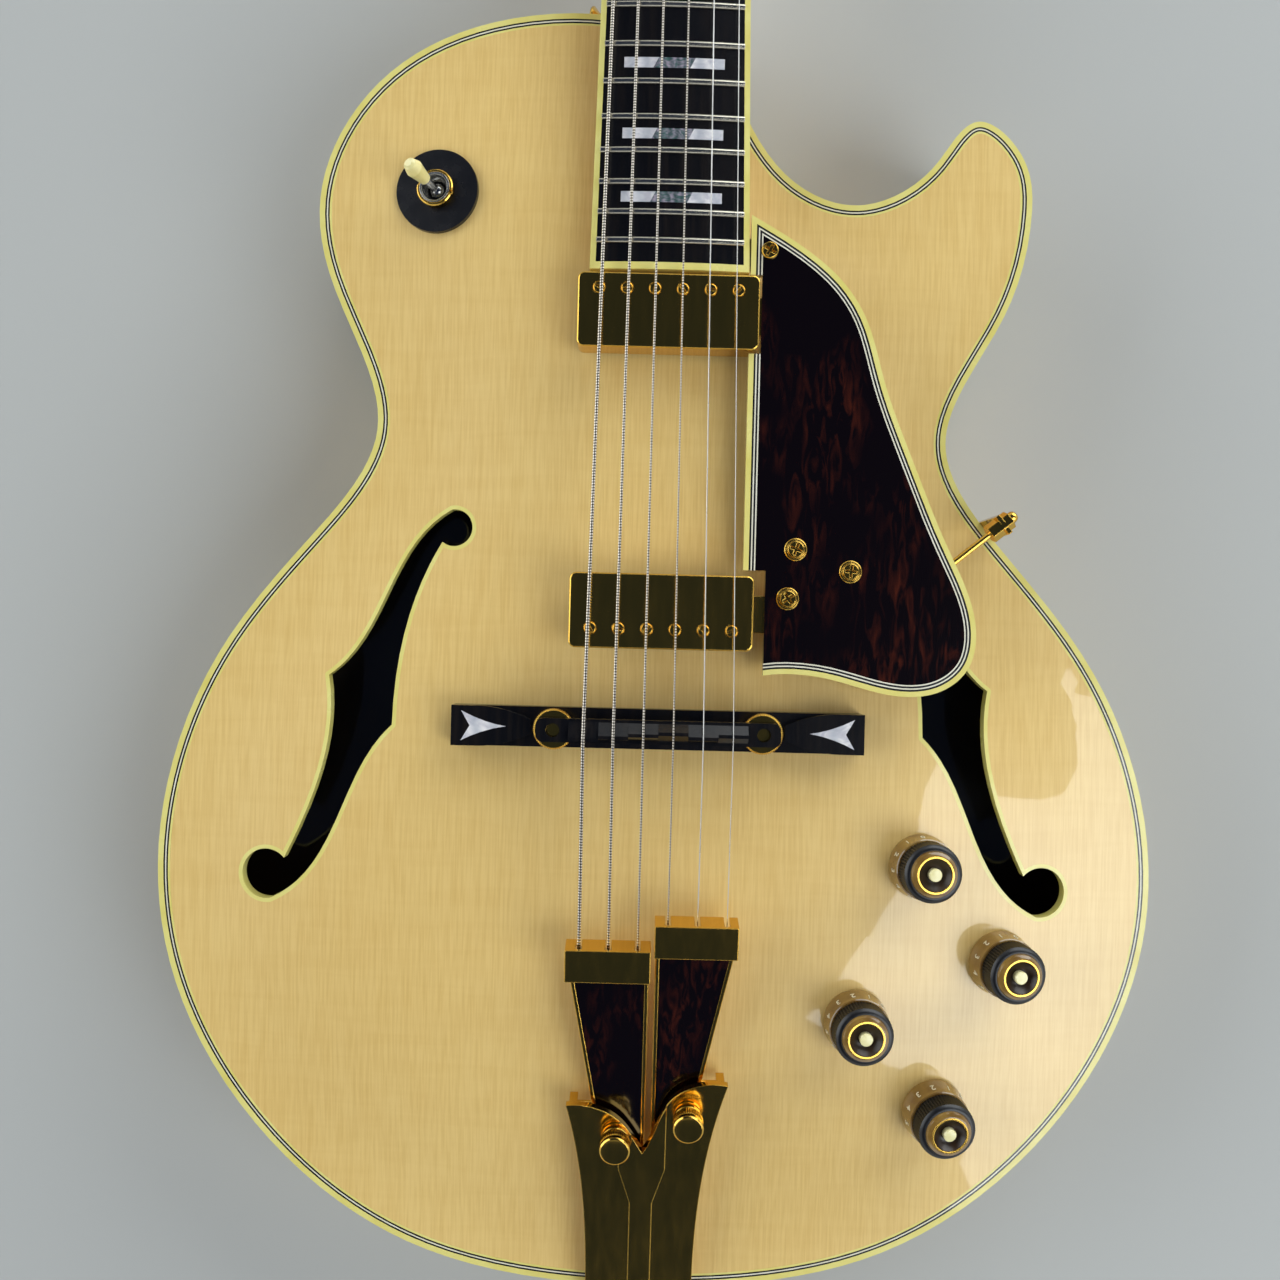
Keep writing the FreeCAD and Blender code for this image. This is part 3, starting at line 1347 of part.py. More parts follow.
feature("tailpiece_base", tailpiece_base())


def arm_face(half, margin):
    """Plan of one arm, drawn in by a margin."""
    side = bar_rows[half][0]
    low = point(half + "_arm_low").y + margin
    high = point(half + "_bar").y - margin / 2
    inner = mm("arm_parting") + margin
    corners = [
        Vector(side * inner, low, 0),
        Vector(side * (arm_edge(half, low) - margin), low, 0),
        Vector(side * (arm_edge(half, high) - margin), high, 0),
        Vector(side * inner, high, 0),
    ]
    return polygon(corners)


def tailpiece_arm(half):
    side, members = bar_rows[half]
    plate = upright(arm_face(half, 0), arm_low, arm_top)
    start = point(half + "_bar").y
    front = start + mm("arm_bar_depth")
    spans = sorted((side * mm("arm_parting") / 2, side * mm(half + "_bar_x")))
    bar = box(spans, (start, front), (-mm("arm_bar_height"), 0))
    slots = []
    half_slot = mm("string_slot_width") / 2
    for index in members:
        x = string_across(index, mm("saddle_spread"))
        span_y = (front - mm("string_slot_depth"), 2 * front)
        span_z = (-2 * mm("arm_bar_height"), -mm("string_slot_roof"))
        slots.append(box((x - half_slot, x + half_slot), span_y, span_z))
    pocket = upright(arm_face(half, mm("arm_inlay_margin")), arm_top - mm("arm_inlay_depth"), 0)
    bore_start = Vector(-2 * mm("bass_bar_x"), pin_place(half), pin_level)
    bore_radius = mm("arm_pin_radius") + mm("arm_pin_fit")
    bore = Part.makeCylinder(bore_radius, 4 * mm("bass_bar_x"), bore_start, X_AXIS)
    return joined([plate, bar.cut(slots)]).cut([pocket, bore])


def arm_inlay(half):
    return upright(arm_face(half, mm("arm_inlay_margin")), arm_top - mm("arm_inlay_depth"), arm_top)


def screw_seat(half):
    return TAIL.multiply(Placement(screw_spot(half), FLAT))


for half in bar_rows:
    feature(f"tailpiece_{half}_arm", tailpiece_arm(half), TAIL)
    feature(f"tailpiece_{half}_inlay", arm_inlay(half), TAIL)
    turned_body(
        f"tailpiece_{half}_thumbscrew",
        [
            ("0", "thumb_tip_gap - arm_gap"),
            ("thumb_stem", "thumb_tip_gap - arm_gap"),
            ("thumb_stem", "tail_plate + thumb_gap"),
            ("thumb_radius", "tail_plate + thumb_gap"),
            ("thumb_radius", "tail_plate + thumb_gap + thumb_height"),
            ("0", "tail_plate + thumb_gap + thumb_height"),
        ],
        screw_seat(half),
    )


def string_run(index):
    """Points of one string, from the tailpiece over saddle and nut to its post."""
    half = "bass" if index in bar_rows["bass"][1] else "treble"
    radius = gauge(index)
    lift = Vector(0, 0, radius + mm("string_rest_gap"))
    x = string_across(index, mm("saddle_spread"))
    front = point(half + "_bar").y + mm("arm_bar_depth")
    anchor = TAIL.multVec(Vector(x, front - mm("string_hold"), -mm("string_entry")))
    number = index if index < TUNERS_A_SIDE else TUNERS + TUNERS_A_SIDE - 1 - index
    spot = tuner_spot(number)
    side = -1 if spot.x < 0 else 1
    clear = mm("post_waist") + radius + mm("string_rest_gap")
    level = mm("overlay_thickness") + (mm("post_groove_low") + mm("post_groove_high")) / 2
    post = HEAD.multVec(Vector(spot.x - side * clear, spot.y, level))
    return [
        anchor,
        saddle_contact(index) + lift,
        NECK.multVec(nut_contact(index, 0) + lift),
        NECK.multVec(nut_contact(index, mm("nut_thickness")) + lift),
        post,
    ]


def string(index):
    """One string, lofted through a ring at each of its bends."""
    run = string_run(index)
    rings = []
    for spot, before, after in zip(run, run[:1] + run, run[1:] + run[-1:]):
        ring = Part.Circle(spot, after - before, gauge(index))
        rings.append(Part.Wire(ring.toShape()))
    return Part.makeLoft(rings, True, True)


feature("wound_strings", Part.makeCompound([string(index) for index in range(4)]))
feature("plain_strings", Part.makeCompound([string(index) for index in range(4, 6)]))

# Bridge: base fitted to the top, two posts, thumbwheels and a saddle with a ridge for each string
base_half = mm("bridge_length") / 2
base_middle = crown + mm("bridge_middle_rise")
base_end = crown + mm("bridge_end_rise")


def arrow_face(side):
    """Pearl arrow with hollow sides, its point towards the middle of the bridge."""
    foot = base_half - mm("arrow_margin")
    half = mm("arrow_width") / 2
    notch = Vector(side * (foot - mm("arrow_notch")), saddle_y, 0)
    tip = Vector(side * (foot - mm("arrow_length")), saddle_y, 0)
    edges = []
    for way in (1, -1):
        corner = Vector(side * foot, saddle_y + way * half, 0)
        pull = (corner + tip) / 2 - Vector(0, way * 2 * mm("arrow_hollow"), 0)
        edges += [bend([corner, pull, tip]), Part.makeLine(corner, notch)]
    return Part.Face(Part.Wire(Part.__sortEdges__(edges)))


arrows = [upright(arrow_face(side), base_end - mm("arrow_depth"), base_end) for side in (-1, 1)]


def raised_end(side):
    """End of the base, full width at first and then drawn in like a lancet."""
    half = mm("bridge_width") / 2
    flat = side * (base_half - mm("bridge_end_flat"))
    tip = side * (base_half - mm("bridge_end_length"))
    across = Vector(0, half, 0)
    narrow = Vector(0, mm("bridge_end_tip"), 0)
    foot = Vector(side * base_half, 0, 0)
    end = Vector(tip, 0, 0)
    edges = [Part.makeLine(foot - across, foot + across), Part.makeLine(end - narrow, end + narrow)]
    for way in (1, -1):
        shoulder = Vector(flat, 0, 0) + across * way
        pull = Vector((flat + tip) / 2, 0, 0) + across * way
        edges.append(Part.makeLine(foot + across * way, shoulder))
        edges.append(bend([shoulder, pull, end + narrow * way]))
    face = Part.Face(Part.Wire(Part.__sortEdges__(edges)))
    face.translate(Vector(0, saddle_y, 0))
    return upright(face, rim_top, base_end)


def bridge_base():
    half = mm("bridge_width") / 2
    block = box((-base_half, base_half), (saddle_y - half, saddle_y + half), (rim_top, base_middle))
    above = top_skin.extrude(Vector(0, 0, 2 * mm("bridge_height")))
    seats = []
    for side in (-1, 1):
        foot = Vector(side * mm("post_spacing") / 2, saddle_y, base_middle - mm("bridge_post_seat"))
        seats.append(Part.makeCylinder(mm("bridge_post_radius"), mm("bridge_height"), foot))
    return joined([block, raised_end(-1), raised_end(1)]).common(above).cut(seats + arrows)


feature("bridge_base", bridge_base())
feature("pearl_inlays", Part.makeCompound([moved(block, NECK) for block in pearl_blocks] + arrows))

ridge_top = string_level - crown_fall(mm("saddle_spread") / 2)
saddle_body_top = ridge_top - mm("saddle_ridge_height") + crown_fall(mm("saddle_spread") / 2)
saddle_low = saddle_body_top - mm("saddle_body_height")
wheel_top = saddle_low - mm("wheel_gap")
post_top = saddle_body_top - mm("wheel_gap")
posts = []
for side in (-1, 1):
    post = doc.addObject("Part::Cylinder", "bridge_post_bass" if side < 0 else "bridge_post_treble")
    post.setExpression("Radius", formula("bridge_post_radius"))
    foot = base_middle - mm("bridge_post_seat")
    post.Height = post_top - mm("saddle_travel") - foot
    post.Placement = ORIGIN.multiply(Placement(Vector(side * mm("post_spacing") / 2, saddle_y, foot), FLAT))
    posts.append(post)
group("bridge_posts", posts)


def bridge_saddle():
    half_x = mm("saddle_length") / 2
    half_y = mm("saddle_width") / 2
    body = box((-half_x, half_x), (saddle_y - half_y, saddle_y + half_y), (saddle_low, saddle_body_top))
    upright_edges = [edge for edge in body.Edges if edge.BoundBox.ZLength > mm("saddle_body_height") / 2]
    body = body.makeFillet(mm("saddle_corner"), upright_edges)
    pieces = [body]
    pitch_x = mm("saddle_spread") / (len(STRINGS) - 1)
    for index in range(len(STRINGS)):
        contact = saddle_contact(index)
        edge = mm("ridge_foot") / 2
        ridge = mm("saddle_ridge") / 2
        profile = [
            (saddle_y - edge, saddle_body_top),
            (saddle_y + edge, saddle_body_top),
            (contact.y + ridge, contact.z),
            (contact.y - ridge, contact.z),
        ]
        corners = [Vector(contact.x - pitch_x / 2, y, z) for y, z in profile]
        pieces.append(polygon(corners).extrude(Vector(pitch_x, 0, 0)))
    holes = []
    for side in (-1, 1):
        foot = Vector(side * mm("post_spacing") / 2, saddle_y, saddle_low - mm("wheel_height"))
        radius = mm("bridge_post_radius") + mm("bridge_fit")
        holes.append(Part.makeCylinder(radius, 4 * mm("saddle_body_height"), foot))
    return joined(pieces).cut(holes)


feature("bridge_saddle", bridge_saddle())


def wheel_seat(side):
    return Placement(Vector(side * mm("post_spacing") / 2, saddle_y, wheel_top - mm("wheel_height")), FLAT)


for side, label in ((-1, "bass_thumbwheel"), (1, "treble_thumbwheel")):
    turned_body(
        label,
        [
            ("bridge_post_radius + bridge_fit", "0"),
            ("wheel_radius", "0"),
            ("wheel_radius", "wheel_height"),
            ("bridge_post_radius + bridge_fit", "wheel_height"),
        ],
        wheel_seat(side),
    )

# Pickups: hollow covers, two coils each, pole screws, and plates that hold them to the pickguard
board_far = NECK.multVec(Vector(0, board_end, 0)).y
PICKUPS = {
    "neck": (board_far - mm("neck_pickup_gap") - mm("pickup_width") / 2, mm("neck_pickup_top")),
    "bridge": (saddle_y + mm("bridge_pickup_at"), mm("bridge_pickup_top")),
}
POLE_ROWS = {"neck": mm("neck_pole_row"), "bridge": -mm("bridge_pole_row")}
POLES = 6


def pickup_block(grow, low, high, middle):
    half_x = mm("pickup_length") / 2 + grow
    half_y = mm("pickup_width") / 2 + grow
    return box((-half_x, half_x), (middle - half_y, middle + half_y), (low, high))


def pole_places(name):
    middle, top = PICKUPS[name]
    row = middle + POLE_ROWS[name]
    return [Vector((step - (POLES - 1) / 2) * mm("pole_spacing"), row, top) for step in range(POLES)]


def pickup_cover(name):
    middle, top = PICKUPS[name]
    low = top - mm("pickup_height")
    shell = pickup_block(0, low, top, middle)
    corners = [edge for edge in shell.Edges if edge.BoundBox.ZLength > mm("pickup_height") / 2]
    shell = shell.makeFillet(mm("pickup_corner"), corners)
    rim = [edge for edge in shell.Edges if edge.BoundBox.ZMin > top - mm("pickup_wall") / 2]
    shell = shell.makeFillet(mm("pickup_edge"), rim)
    hollow = pickup_block(-mm("pickup_wall"), low, top - mm("pickup_wall"), middle)
    corners = [edge for edge in hollow.Edges if edge.BoundBox.ZLength > mm("pickup_height") / 2]
    hollow = hollow.makeFillet(mm("pickup_corner") - mm("pickup_wall"), corners)
    return shell.cut([hollow] + [pole_screw(spot) for spot in pole_places(name)])


def pole_screw(spot):
    foot = spot + Z_AXIS * (mm("pole_stand") - mm("pole_length"))
    return Part.makeCylinder(mm("pole_radius"), mm("pole_length"), foot)


def pickup_coil(name, row):
    middle, top = PICKUPS[name]
    y = middle + row * mm("coil_row")
    half_x = mm("coil_length") / 2
    half_y = mm("coil_width") / 2
    high = top - mm("pickup_wall")
    coil = box((-half_x, half_x), (y - half_y, y + half_y), (high - mm("coil_height"), high))
    corners = [edge for edge in coil.Edges if edge.BoundBox.ZLength > mm("coil_height") / 2]
    coil = coil.makeFillet(mm("coil_corner"), corners)
    return coil.cut([pole_screw(spot) for spot in pole_places(name)])


feature("pickup_covers", Part.makeCompound([pickup_cover(name) for name in PICKUPS]))
feature("pickup_coils", Part.makeCompound([pickup_coil(name, row) for name in PICKUPS for row in (-1, 1)]))
poles = [pole_screw(spot) for name in PICKUPS for spot in pole_places(name)]

# Pickguard, flat over the top, notched for the pickups and edged in five plies
guard_low = mm("guard_level")
guard_top = guard_low + mm("guard_thickness")
GUARD_EDGE = ["guard_corner", "guard_crest", "guard_shoulder", "guard_bend", "guard_side", "guard_waist"]
GUARD_EDGE += ["guard_flank", "guard_swell", "guard_bulge", "guard_turn", "guard_round", "guard_foot"]
GUARD_EDGE += ["guard_hollow", "guard_wave", "guard_rest", "guard_low"]
guard_curve = smooth([point(name) for name in GUARD_EDGE])
guard_edges = [0.0]
for ply in ("guard_binding", "guard_black", "guard_white", "guard_black", "guard_white"):
    guard_edges.append(guard_edges[-1] + mm(ply))
room = mm("pickup_guard_room")
guard_notches = [
    pickup_block(room, guard_low, guard_top, PICKUPS["neck"][0]),
    box((0, mm("guard_notch_edge")), (saddle_y, saddle_y + mm("guard_notch_end")), (guard_low, guard_top)),
]


def guard_layer(inset):
    """The pickguard inside a line that follows its edge."""
    places = inset_points(guard_curve, guard_curve.Length, -inset)
    face = Part.Face(Part.Wire([smooth(places), Part.makeLine(places[-1], places[0])]))
    face.translate(Vector(0, saddle_y, 0))
    span_x = (mm("guard_inner_edge") + inset, 2 * mm("guard_bulge_x"))
    straight = box(span_x, (0, body_end), (guard_low, guard_top))
    return upright(face, guard_low, guard_top).common(straight)


guard_layers = [guard_layer(inset) for inset in guard_edges]
guard_plies = [outer.cut([inner] + guard_notches) for outer, inner in zip(guard_layers, guard_layers[1:])]
GUARD_SCREWS = ["guard_screw_inner", "guard_screw_outer", "guard_screw_low"]
guard_screws = [point(name) + Vector(0, saddle_y, 0) for name in GUARD_SCREWS]
feature("pickguard", guard_layers[-1].cut(guard_notches))
feature("pickguard_binding", guard_plies[0])
feature("black_lines", Part.makeCompound(top_black + [guard_plies[1], guard_plies[3]]))
feature("white_lines", Part.makeCompound(top_white + [guard_plies[2], guard_plies[4]]))


# Plates under the pickguard for the pickups
def pickup_plates():
    level = (guard_low - mm("plate_thickness"), guard_low)
    neck_middle = PICKUPS["neck"][0]
    bridge_middle = PICKUPS["bridge"][0]
    reach = mm("pickup_width") / 4
    edge = mm("pickup_length") / 2
    neck_plate = box((edge, mm("guard_screw_inner_x")), (neck_middle - reach, neck_middle + reach), level)
    outer = mm("guard_screw_outer_x") + mm("guard_screw_radius")
    high = guard_screws[0].y + mm("guard_screw_radius")
    low = bridge_middle - reach
    tongue = box((0, mm("guard_notch_edge")), (low, bridge_middle + reach), level)
    flange = box((mm("guard_notch_edge"), outer), (low, high), level)
    return [neck_plate, joined([tongue, flange])]


# A low head with a rounded rim, for screws and nuts
ROUNDED_SHARE = 0.6


def round_head(radius, height, place):
    head = Part.makeCylinder(radius, height)
    rim = [edge for edge in head.Edges if edge.Closed and edge.BoundBox.ZMin > height / 2]
    return moved(head.makeFillet(height * ROUNDED_SHARE, rim), place)


# Rod under the pickguard with a hexagon barrel, an end nut and a foot on the rim
HEXAGON = 6


def guard_bracket():
    crossing = point("rod_crossing") + Vector(0, saddle_y, 0)
    spot, way = rim_seat(crossing.x, crossing.y)
    radius = mm("rod_radius")
    level = guard_low - radius
    spot = Vector(spot.x, spot.y, level)
    start = spot - way * mm("rod_inside")
    rod = Part.makeCylinder(radius, mm("rod_inside") + mm("rod_outside"), start, way)
    corners = []
    for step in range(HEXAGON):
        turn = 2 * math.pi * step / HEXAGON
        corners.append(Vector(math.cos(turn), math.sin(turn), 0) * (mm("barrel_across") / math.sqrt(3)))
    barrel = polygon(corners).extrude(Z_AXIS * mm("barrel_length"))
    barrel_start = spot + way * (mm("rod_outside") - mm("barrel_length"))
    barrel = moved(barrel, Placement(barrel_start, Rotation(Z_AXIS, way)))
    half = mm("foot_width") / 2
    foot_high = level + mm("barrel_across") / 2
    span_y = (mm("foot_gap"), mm("foot_gap") + mm("foot_thickness"))
    strip = box((-half, half), span_y, (mm("foot_low"), foot_high))
    strip = moved(strip, Placement(Vector(spot.x, spot.y, 0), Rotation(Y_AXIS, way)))
    nut_seat = Placement(spot + way * mm("rod_outside"), Rotation(Z_AXIS, way))
    end_nut = round_head(mm("end_nut_radius"), mm("end_nut_length"), nut_seat)
    return joined([rod, barrel, strip, end_nut])


feature("pickguard_brackets", Part.makeCompound(pickup_plates() + [guard_bracket()]))

# Control knobs on their potentiometers
pots = []
for name in KNOBS:
    seat = fitting_seat(name)
    lifted = seat.multiply(Placement(Vector(0, 0, mm("knob_gap")), FLAT))
    core = turned_body(
        name + "_core",
        [
            ("shaft_radius", "0"),
            ("knob_skirt", "0"),
            ("knob_skirt", "knob_skirt_edge"),
            ("knob_core", "knob_skirt_height"),
            ("knob_core", "knob_grip_top"),
            ("knob_cap", "knob_cap_edge"),
            ("knob_cap - knob_gap", "knob_height"),
            ("0", "knob_height"),
            ("0", "knob_bore"),
            ("shaft_radius", "knob_bore"),
        ],
        lifted,
    )
    grip = turned_body(
        name + "_grip",
        [
            ("knob_core", "knob_skirt_height"),
            ("knob_grip", "knob_skirt_height"),
            ("knob_grip", "knob_grip_top - knob_gap"),
            ("knob_grip - knob_gap", "knob_grip_top"),
            ("knob_core", "knob_grip_top"),
        ],
        lifted,
    )
    shaft_end_terms = "pot_floor + shaft_end_gap - knob_gap - top_thickness - pot_gap - pot_can_height"
    shaft = turned_body(
        name + "_shaft",
        [
            ("0", shaft_end_terms),
            ("shaft_radius", shaft_end_terms),
            ("shaft_radius", "knob_bore"),
            ("0", "knob_bore"),
        ],
        lifted,
    )
    group(name, [core, grip, shaft])
    can_top = "- top_thickness - pot_gap"
    can_low = "- top_thickness - pot_gap - pot_can_height"
    pot = turned_body(
        name + "_pot",
        [
            ("shaft_radius + shaft_fit", "0"),
            ("pot_bushing", "0"),
            ("pot_bushing", can_top),
            ("pot_can", can_top),
            ("pot_can", can_low),
            ("0", can_low),
            ("0", can_low + " + pot_floor"),
            ("shaft_radius + shaft_fit", can_low + " + pot_floor"),
        ],
        seat,
    )
    pots.append(pot)


# Pickup switch: a ring fitted to the top, a nut, a bushing with its frame, and a tilting lever
def switch_ring():
    tube = control_hole(SWITCH, mm("ring_radius")).cut(control_hole(SWITCH, mm("switch_bushing")))
    raised = top_skin.extrude(Vector(0, 0, mm("ring_height")))
    return raised.common(tube)


feature("switch_ring", switch_ring())
switch_high = "ring_height + switch_nut_height"
bushing_low = "- switch_depth"
switch_bushing = turned_body(
    "switch_bushing",
    [
        ("switch_bore", bushing_low),
        ("switch_bushing", bushing_low),
        ("switch_bushing", switch_high),
        ("switch_mouth", switch_high),
        ("switch_bore", switch_high + " - switch_mouth_depth"),
    ],
    SWITCH,
)
switch_frame = padded_body(
    "switch_frame",
    [
        ("switch_frame_width - switch_nut", "switch_frame_length - switch_mouth - switch_nut"),
        ("switch_nut - switch_frame_width", "switch_frame_length - switch_mouth - switch_nut"),
        ("switch_nut - switch_frame_width", "switch_mouth + switch_nut - switch_frame_length"),
        ("switch_frame_width - switch_nut", "switch_mouth + switch_nut - switch_frame_length"),
    ],
    "switch_frame_height",
    SWITCH.multiply(Placement(Vector(0, 0, -mm("switch_depth") - mm("switch_frame_height")), FLAT)),
)
group("controls", pots + [switch_bushing, switch_frame])
switch_nut = turned_body(
    "switch_nut",
    [
        ("switch_bushing", "ring_height + pot_room"),
        ("switch_nut", "ring_height + pot_room"),
        ("switch_nut", switch_high),
        ("switch_bushing", switch_high),
    ],
    SWITCH,
)


# Lever and tip, drawn upright from the pivot and tilted to rest
lever_turn = math.radians(mm("lever_heading"))
lever_axis = Vector(-math.sin(lever_turn), math.cos(lever_turn), 0)
PIVOT = SWITCH.multiply(Placement(Vector(0, 0, 0), Rotation(lever_axis, mm("lever_tilt"))))


def switch_lever():
    ball = Part.makeSphere(mm("lever_ball"))
    stem = Part.makeCylinder(mm("lever_radius"), mm("lever_length"))
    return joined([ball, stem])


feature("switch_lever", switch_lever(), PIVOT)
turned_body(
    "switch_tip",
    [
        ("lever_radius", "tip_start"),
        ("tip_foot", "tip_start"),
        ("tip_radius", "tip_swell"),
        ("tip_shoulder", "tip_end - pot_gap"),
        ("lever_radius", "tip_end"),
        ("0", "tip_end"),
        ("0", "lever_length"),
        ("lever_radius", "lever_length"),
    ],
    PIVOT,
)

# Output jack in the treble rim
turned_body(
    "output_jack",
    [
        ("jack_bore", "- jack_length"),
        ("jack_sleeve", "- jack_length"),
        ("jack_sleeve", "jack_room"),
        ("jack_flange", "jack_room"),
        ("jack_flange", "jack_flange_height"),
        ("jack_bore", "jack_flange_height"),
    ],
    JACK,
)

# Strap buttons on the tail and on the heel
TAIL_BUTTON = Placement(Vector(0, -mm("tail_plate"), mm("tail_button_level")), Rotation(Z_AXIS, -Y_AXIS))
heel_share = mm("heel_button_level") / under_board.z
heel_half = mm("heel_foot_half_width") + (board_half(shaft_end) - mm("heel_foot_half_width")) * heel_share
heel_lean = math.degrees(math.atan2(board_half(shaft_end) - mm("heel_foot_half_width"), under_board.z))
HEEL_BUTTON = Placement(
    Vector(-heel_half, body_end + mm("heel_button_out"), mm("heel_button_level")),
    Rotation(Y_AXIS, -90 - heel_lean),
)
STRAP_PROFILE = [
    ("0", "0"),
    ("button_base", "0"),
    ("button_waist", "button_base_height"),
    ("button_waist", "button_height - button_head_height"),
    ("button_head", "button_height - button_base_height"),
    ("button_head - button_base_height", "button_height"),
    ("0", "button_height"),
]
buttons = [
    turned_body("tail_strap_button", STRAP_PROFILE, TAIL_BUTTON),
    turned_body("heel_strap_button", STRAP_PROFILE, HEEL_BUTTON),
]


# Screws that hold the pickguard, the tailpiece leg and the truss rod cover
def fasteners():
    solids = []
    flat_screw = (mm("guard_screw_radius"), mm("guard_screw_height"))
    solids.append(round_head(*flat_screw, Placement(guard_top_screw + Z_AXIS * guard_top, FLAT)))
    for spot in guard_screws:
        seat = spot + Z_AXIS * guard_top
        solids.append(Part.makeCylinder(mm("guard_washer_radius"), mm("guard_washer_height"), seat))
        raised = spot + Z_AXIS * (guard_top + mm("guard_washer_height"))
        solids.append(round_head(*flat_screw, Placement(raised, FLAT)))
    out = Rotation(Z_AXIS, -Y_AXIS)
    for side in (-1, 1):
        spot = Vector(side * mm("leg_screw_spread"), -mm("tail_plate"), mm("tail_button_level"))
        solids.append(round_head(mm("leg_screw_radius"), mm("screw_head_height"), Placement(spot, out)))
    margin = mm("cover_screw_margin")
    for along in (margin, mm("cover_length") - margin):
        spot = Placement(Vector(0, mm("cover_start") + along, mm("cover_thickness")), FLAT)
        solids.append(round_head(mm("cover_screw_radius"), mm("screw_head_height"), COVER.multiply(spot)))
    return Part.makeCompound(solids + poles)


screws = feature("screws", fasteners())
group("fasteners", [screws, switch_nut] + buttons)

NODES = [
    "top_plate", "back_plate", "sides", "body_binding", "inner_frame", "tone_bars", "fretboard",
    "fretboard_binding", "abalone_inlays", "frets", "nut", "neck", "truss_rod", "head_overlay",
    "truss_rod_cover", "tuner_housings", "tailpiece_base", "wound_strings", "plain_strings", "bridge_base",
    "pearl_inlays", "bridge_posts", "bridge_saddle", "bass_thumbwheel", "treble_thumbwheel",
    "pickup_covers", "pickup_coils", "pickguard", "pickguard_binding", "black_lines", "white_lines",
    "pickguard_brackets", "controls", "switch_ring", "switch_lever", "switch_tip", "output_jack", "fasteners",
]
NODES += KNOBS
NODES += [f"tailpiece_{half}_{piece}" for half in bar_rows for piece in ("arm", "inlay", "thumbscrew")]
NODES += [f"tuner_{piece}_{number}" for piece in ("button", "post") for number in range(1, 7)]


def finished_shapes():
    """Every sub-part's shape, once all of them are known to be sound."""
    doc.recompute()
    faults = [item.Label for item in doc.Objects if "Invalid" in item.State or "Error" in item.State]
    shapes = {}
    for label in NODES:
        shape = doc.getObject(label).Shape
        if shape.isNull() or not shape.isValid() or not shape.Solids:
            faults.append(label)
        shapes[label] = shape
    if faults:
        raise RuntimeError("unsound: " + ", ".join(faults))
    return shapes


def write_parts():
    shapes = finished_shapes()
    os.makedirs("parts", exist_ok=True)
    for label, shape in shapes.items():
        shape.exportStep(f"parts/{label}.step")
        print(f"{label}: {len(shape.Solids)} solids, {shape.Volume:.1f} cubic mm")


write_parts()
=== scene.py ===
import json
import math

import bmesh
import bpy
from mathutils import Matrix, Vector


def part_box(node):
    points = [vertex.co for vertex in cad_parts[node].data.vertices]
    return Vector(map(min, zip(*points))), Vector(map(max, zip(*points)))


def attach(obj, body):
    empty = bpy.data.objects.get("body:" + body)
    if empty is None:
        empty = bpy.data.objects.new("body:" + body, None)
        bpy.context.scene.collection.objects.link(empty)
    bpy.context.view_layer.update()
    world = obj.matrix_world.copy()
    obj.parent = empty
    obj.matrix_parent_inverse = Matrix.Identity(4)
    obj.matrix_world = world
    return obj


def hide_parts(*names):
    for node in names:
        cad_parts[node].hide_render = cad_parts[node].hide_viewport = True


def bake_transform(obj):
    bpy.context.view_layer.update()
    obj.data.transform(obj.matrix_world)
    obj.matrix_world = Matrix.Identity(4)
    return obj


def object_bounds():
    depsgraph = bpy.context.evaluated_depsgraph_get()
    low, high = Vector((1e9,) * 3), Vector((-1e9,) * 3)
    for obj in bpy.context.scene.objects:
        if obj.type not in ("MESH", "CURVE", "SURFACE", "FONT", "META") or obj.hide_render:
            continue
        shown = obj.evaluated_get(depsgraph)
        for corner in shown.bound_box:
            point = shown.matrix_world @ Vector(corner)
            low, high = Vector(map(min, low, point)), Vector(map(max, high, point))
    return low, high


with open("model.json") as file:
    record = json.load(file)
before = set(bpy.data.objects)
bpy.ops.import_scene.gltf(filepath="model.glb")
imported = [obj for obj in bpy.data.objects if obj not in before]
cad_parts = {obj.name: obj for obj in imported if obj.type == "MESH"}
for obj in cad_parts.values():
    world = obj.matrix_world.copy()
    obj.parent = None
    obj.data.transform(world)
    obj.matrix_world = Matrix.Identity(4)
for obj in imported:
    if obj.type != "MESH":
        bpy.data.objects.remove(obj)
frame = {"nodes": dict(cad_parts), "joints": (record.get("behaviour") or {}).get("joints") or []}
cad_low, cad_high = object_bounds()

# Top plate: a carved arched plate with two f-shaped sound holes, glued to the rim.
# Pale wood with close straight grain along the strings, stained blonde, then sprayed
# with clear lacquer and buffed to a deep gloss.
MM = 0.001


def linear(code):
    """An sRGB hex colour as the linear values that a shader takes."""
    shares = [int(code[at:at + 2], 16) / 255 for at in (1, 3, 5)]
    return tuple(s / 12.92 if s <= 0.04045 else ((s + 0.055) / 1.055) ** 2.4 for s in shares) + (1.0,)


def add(tree, kind, inputs=None, **settings):
    """Add a node with its settings, and give its inputs their values or links."""
    node = tree.nodes.new("ShaderNode" + kind)
    for name, value in settings.items():
        setattr(node, name, value)
    for name, value in (inputs or {}).items():
        if isinstance(value, bpy.types.NodeSocket):
            tree.links.new(value, node.inputs[name])
        else:
            node.inputs[name].default_value = value
    return node


def finish_of(name, **sockets):
    """A new material, its node tree and its shader with the plain values set."""
    made = bpy.data.materials.new(name)
    made.use_nodes = True
    tree = made.node_tree
    shader = tree.nodes["Principled BSDF"]
    for socket, value in sockets.items():
        shader.inputs[socket.replace("_", " ")].default_value = value
    return made, tree, shader


def per_mm(across, along, deep):
    """Mapping scale that makes one unit of a pattern as long as these millimetres."""
    return (1000 / across, 1000 / along, 1000 / deep)


def dress(material, *names):
    """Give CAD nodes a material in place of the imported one."""
    for name in names:
        mesh = frame["nodes"][name].data
        mesh.materials.clear()
        mesh.materials.append(material)


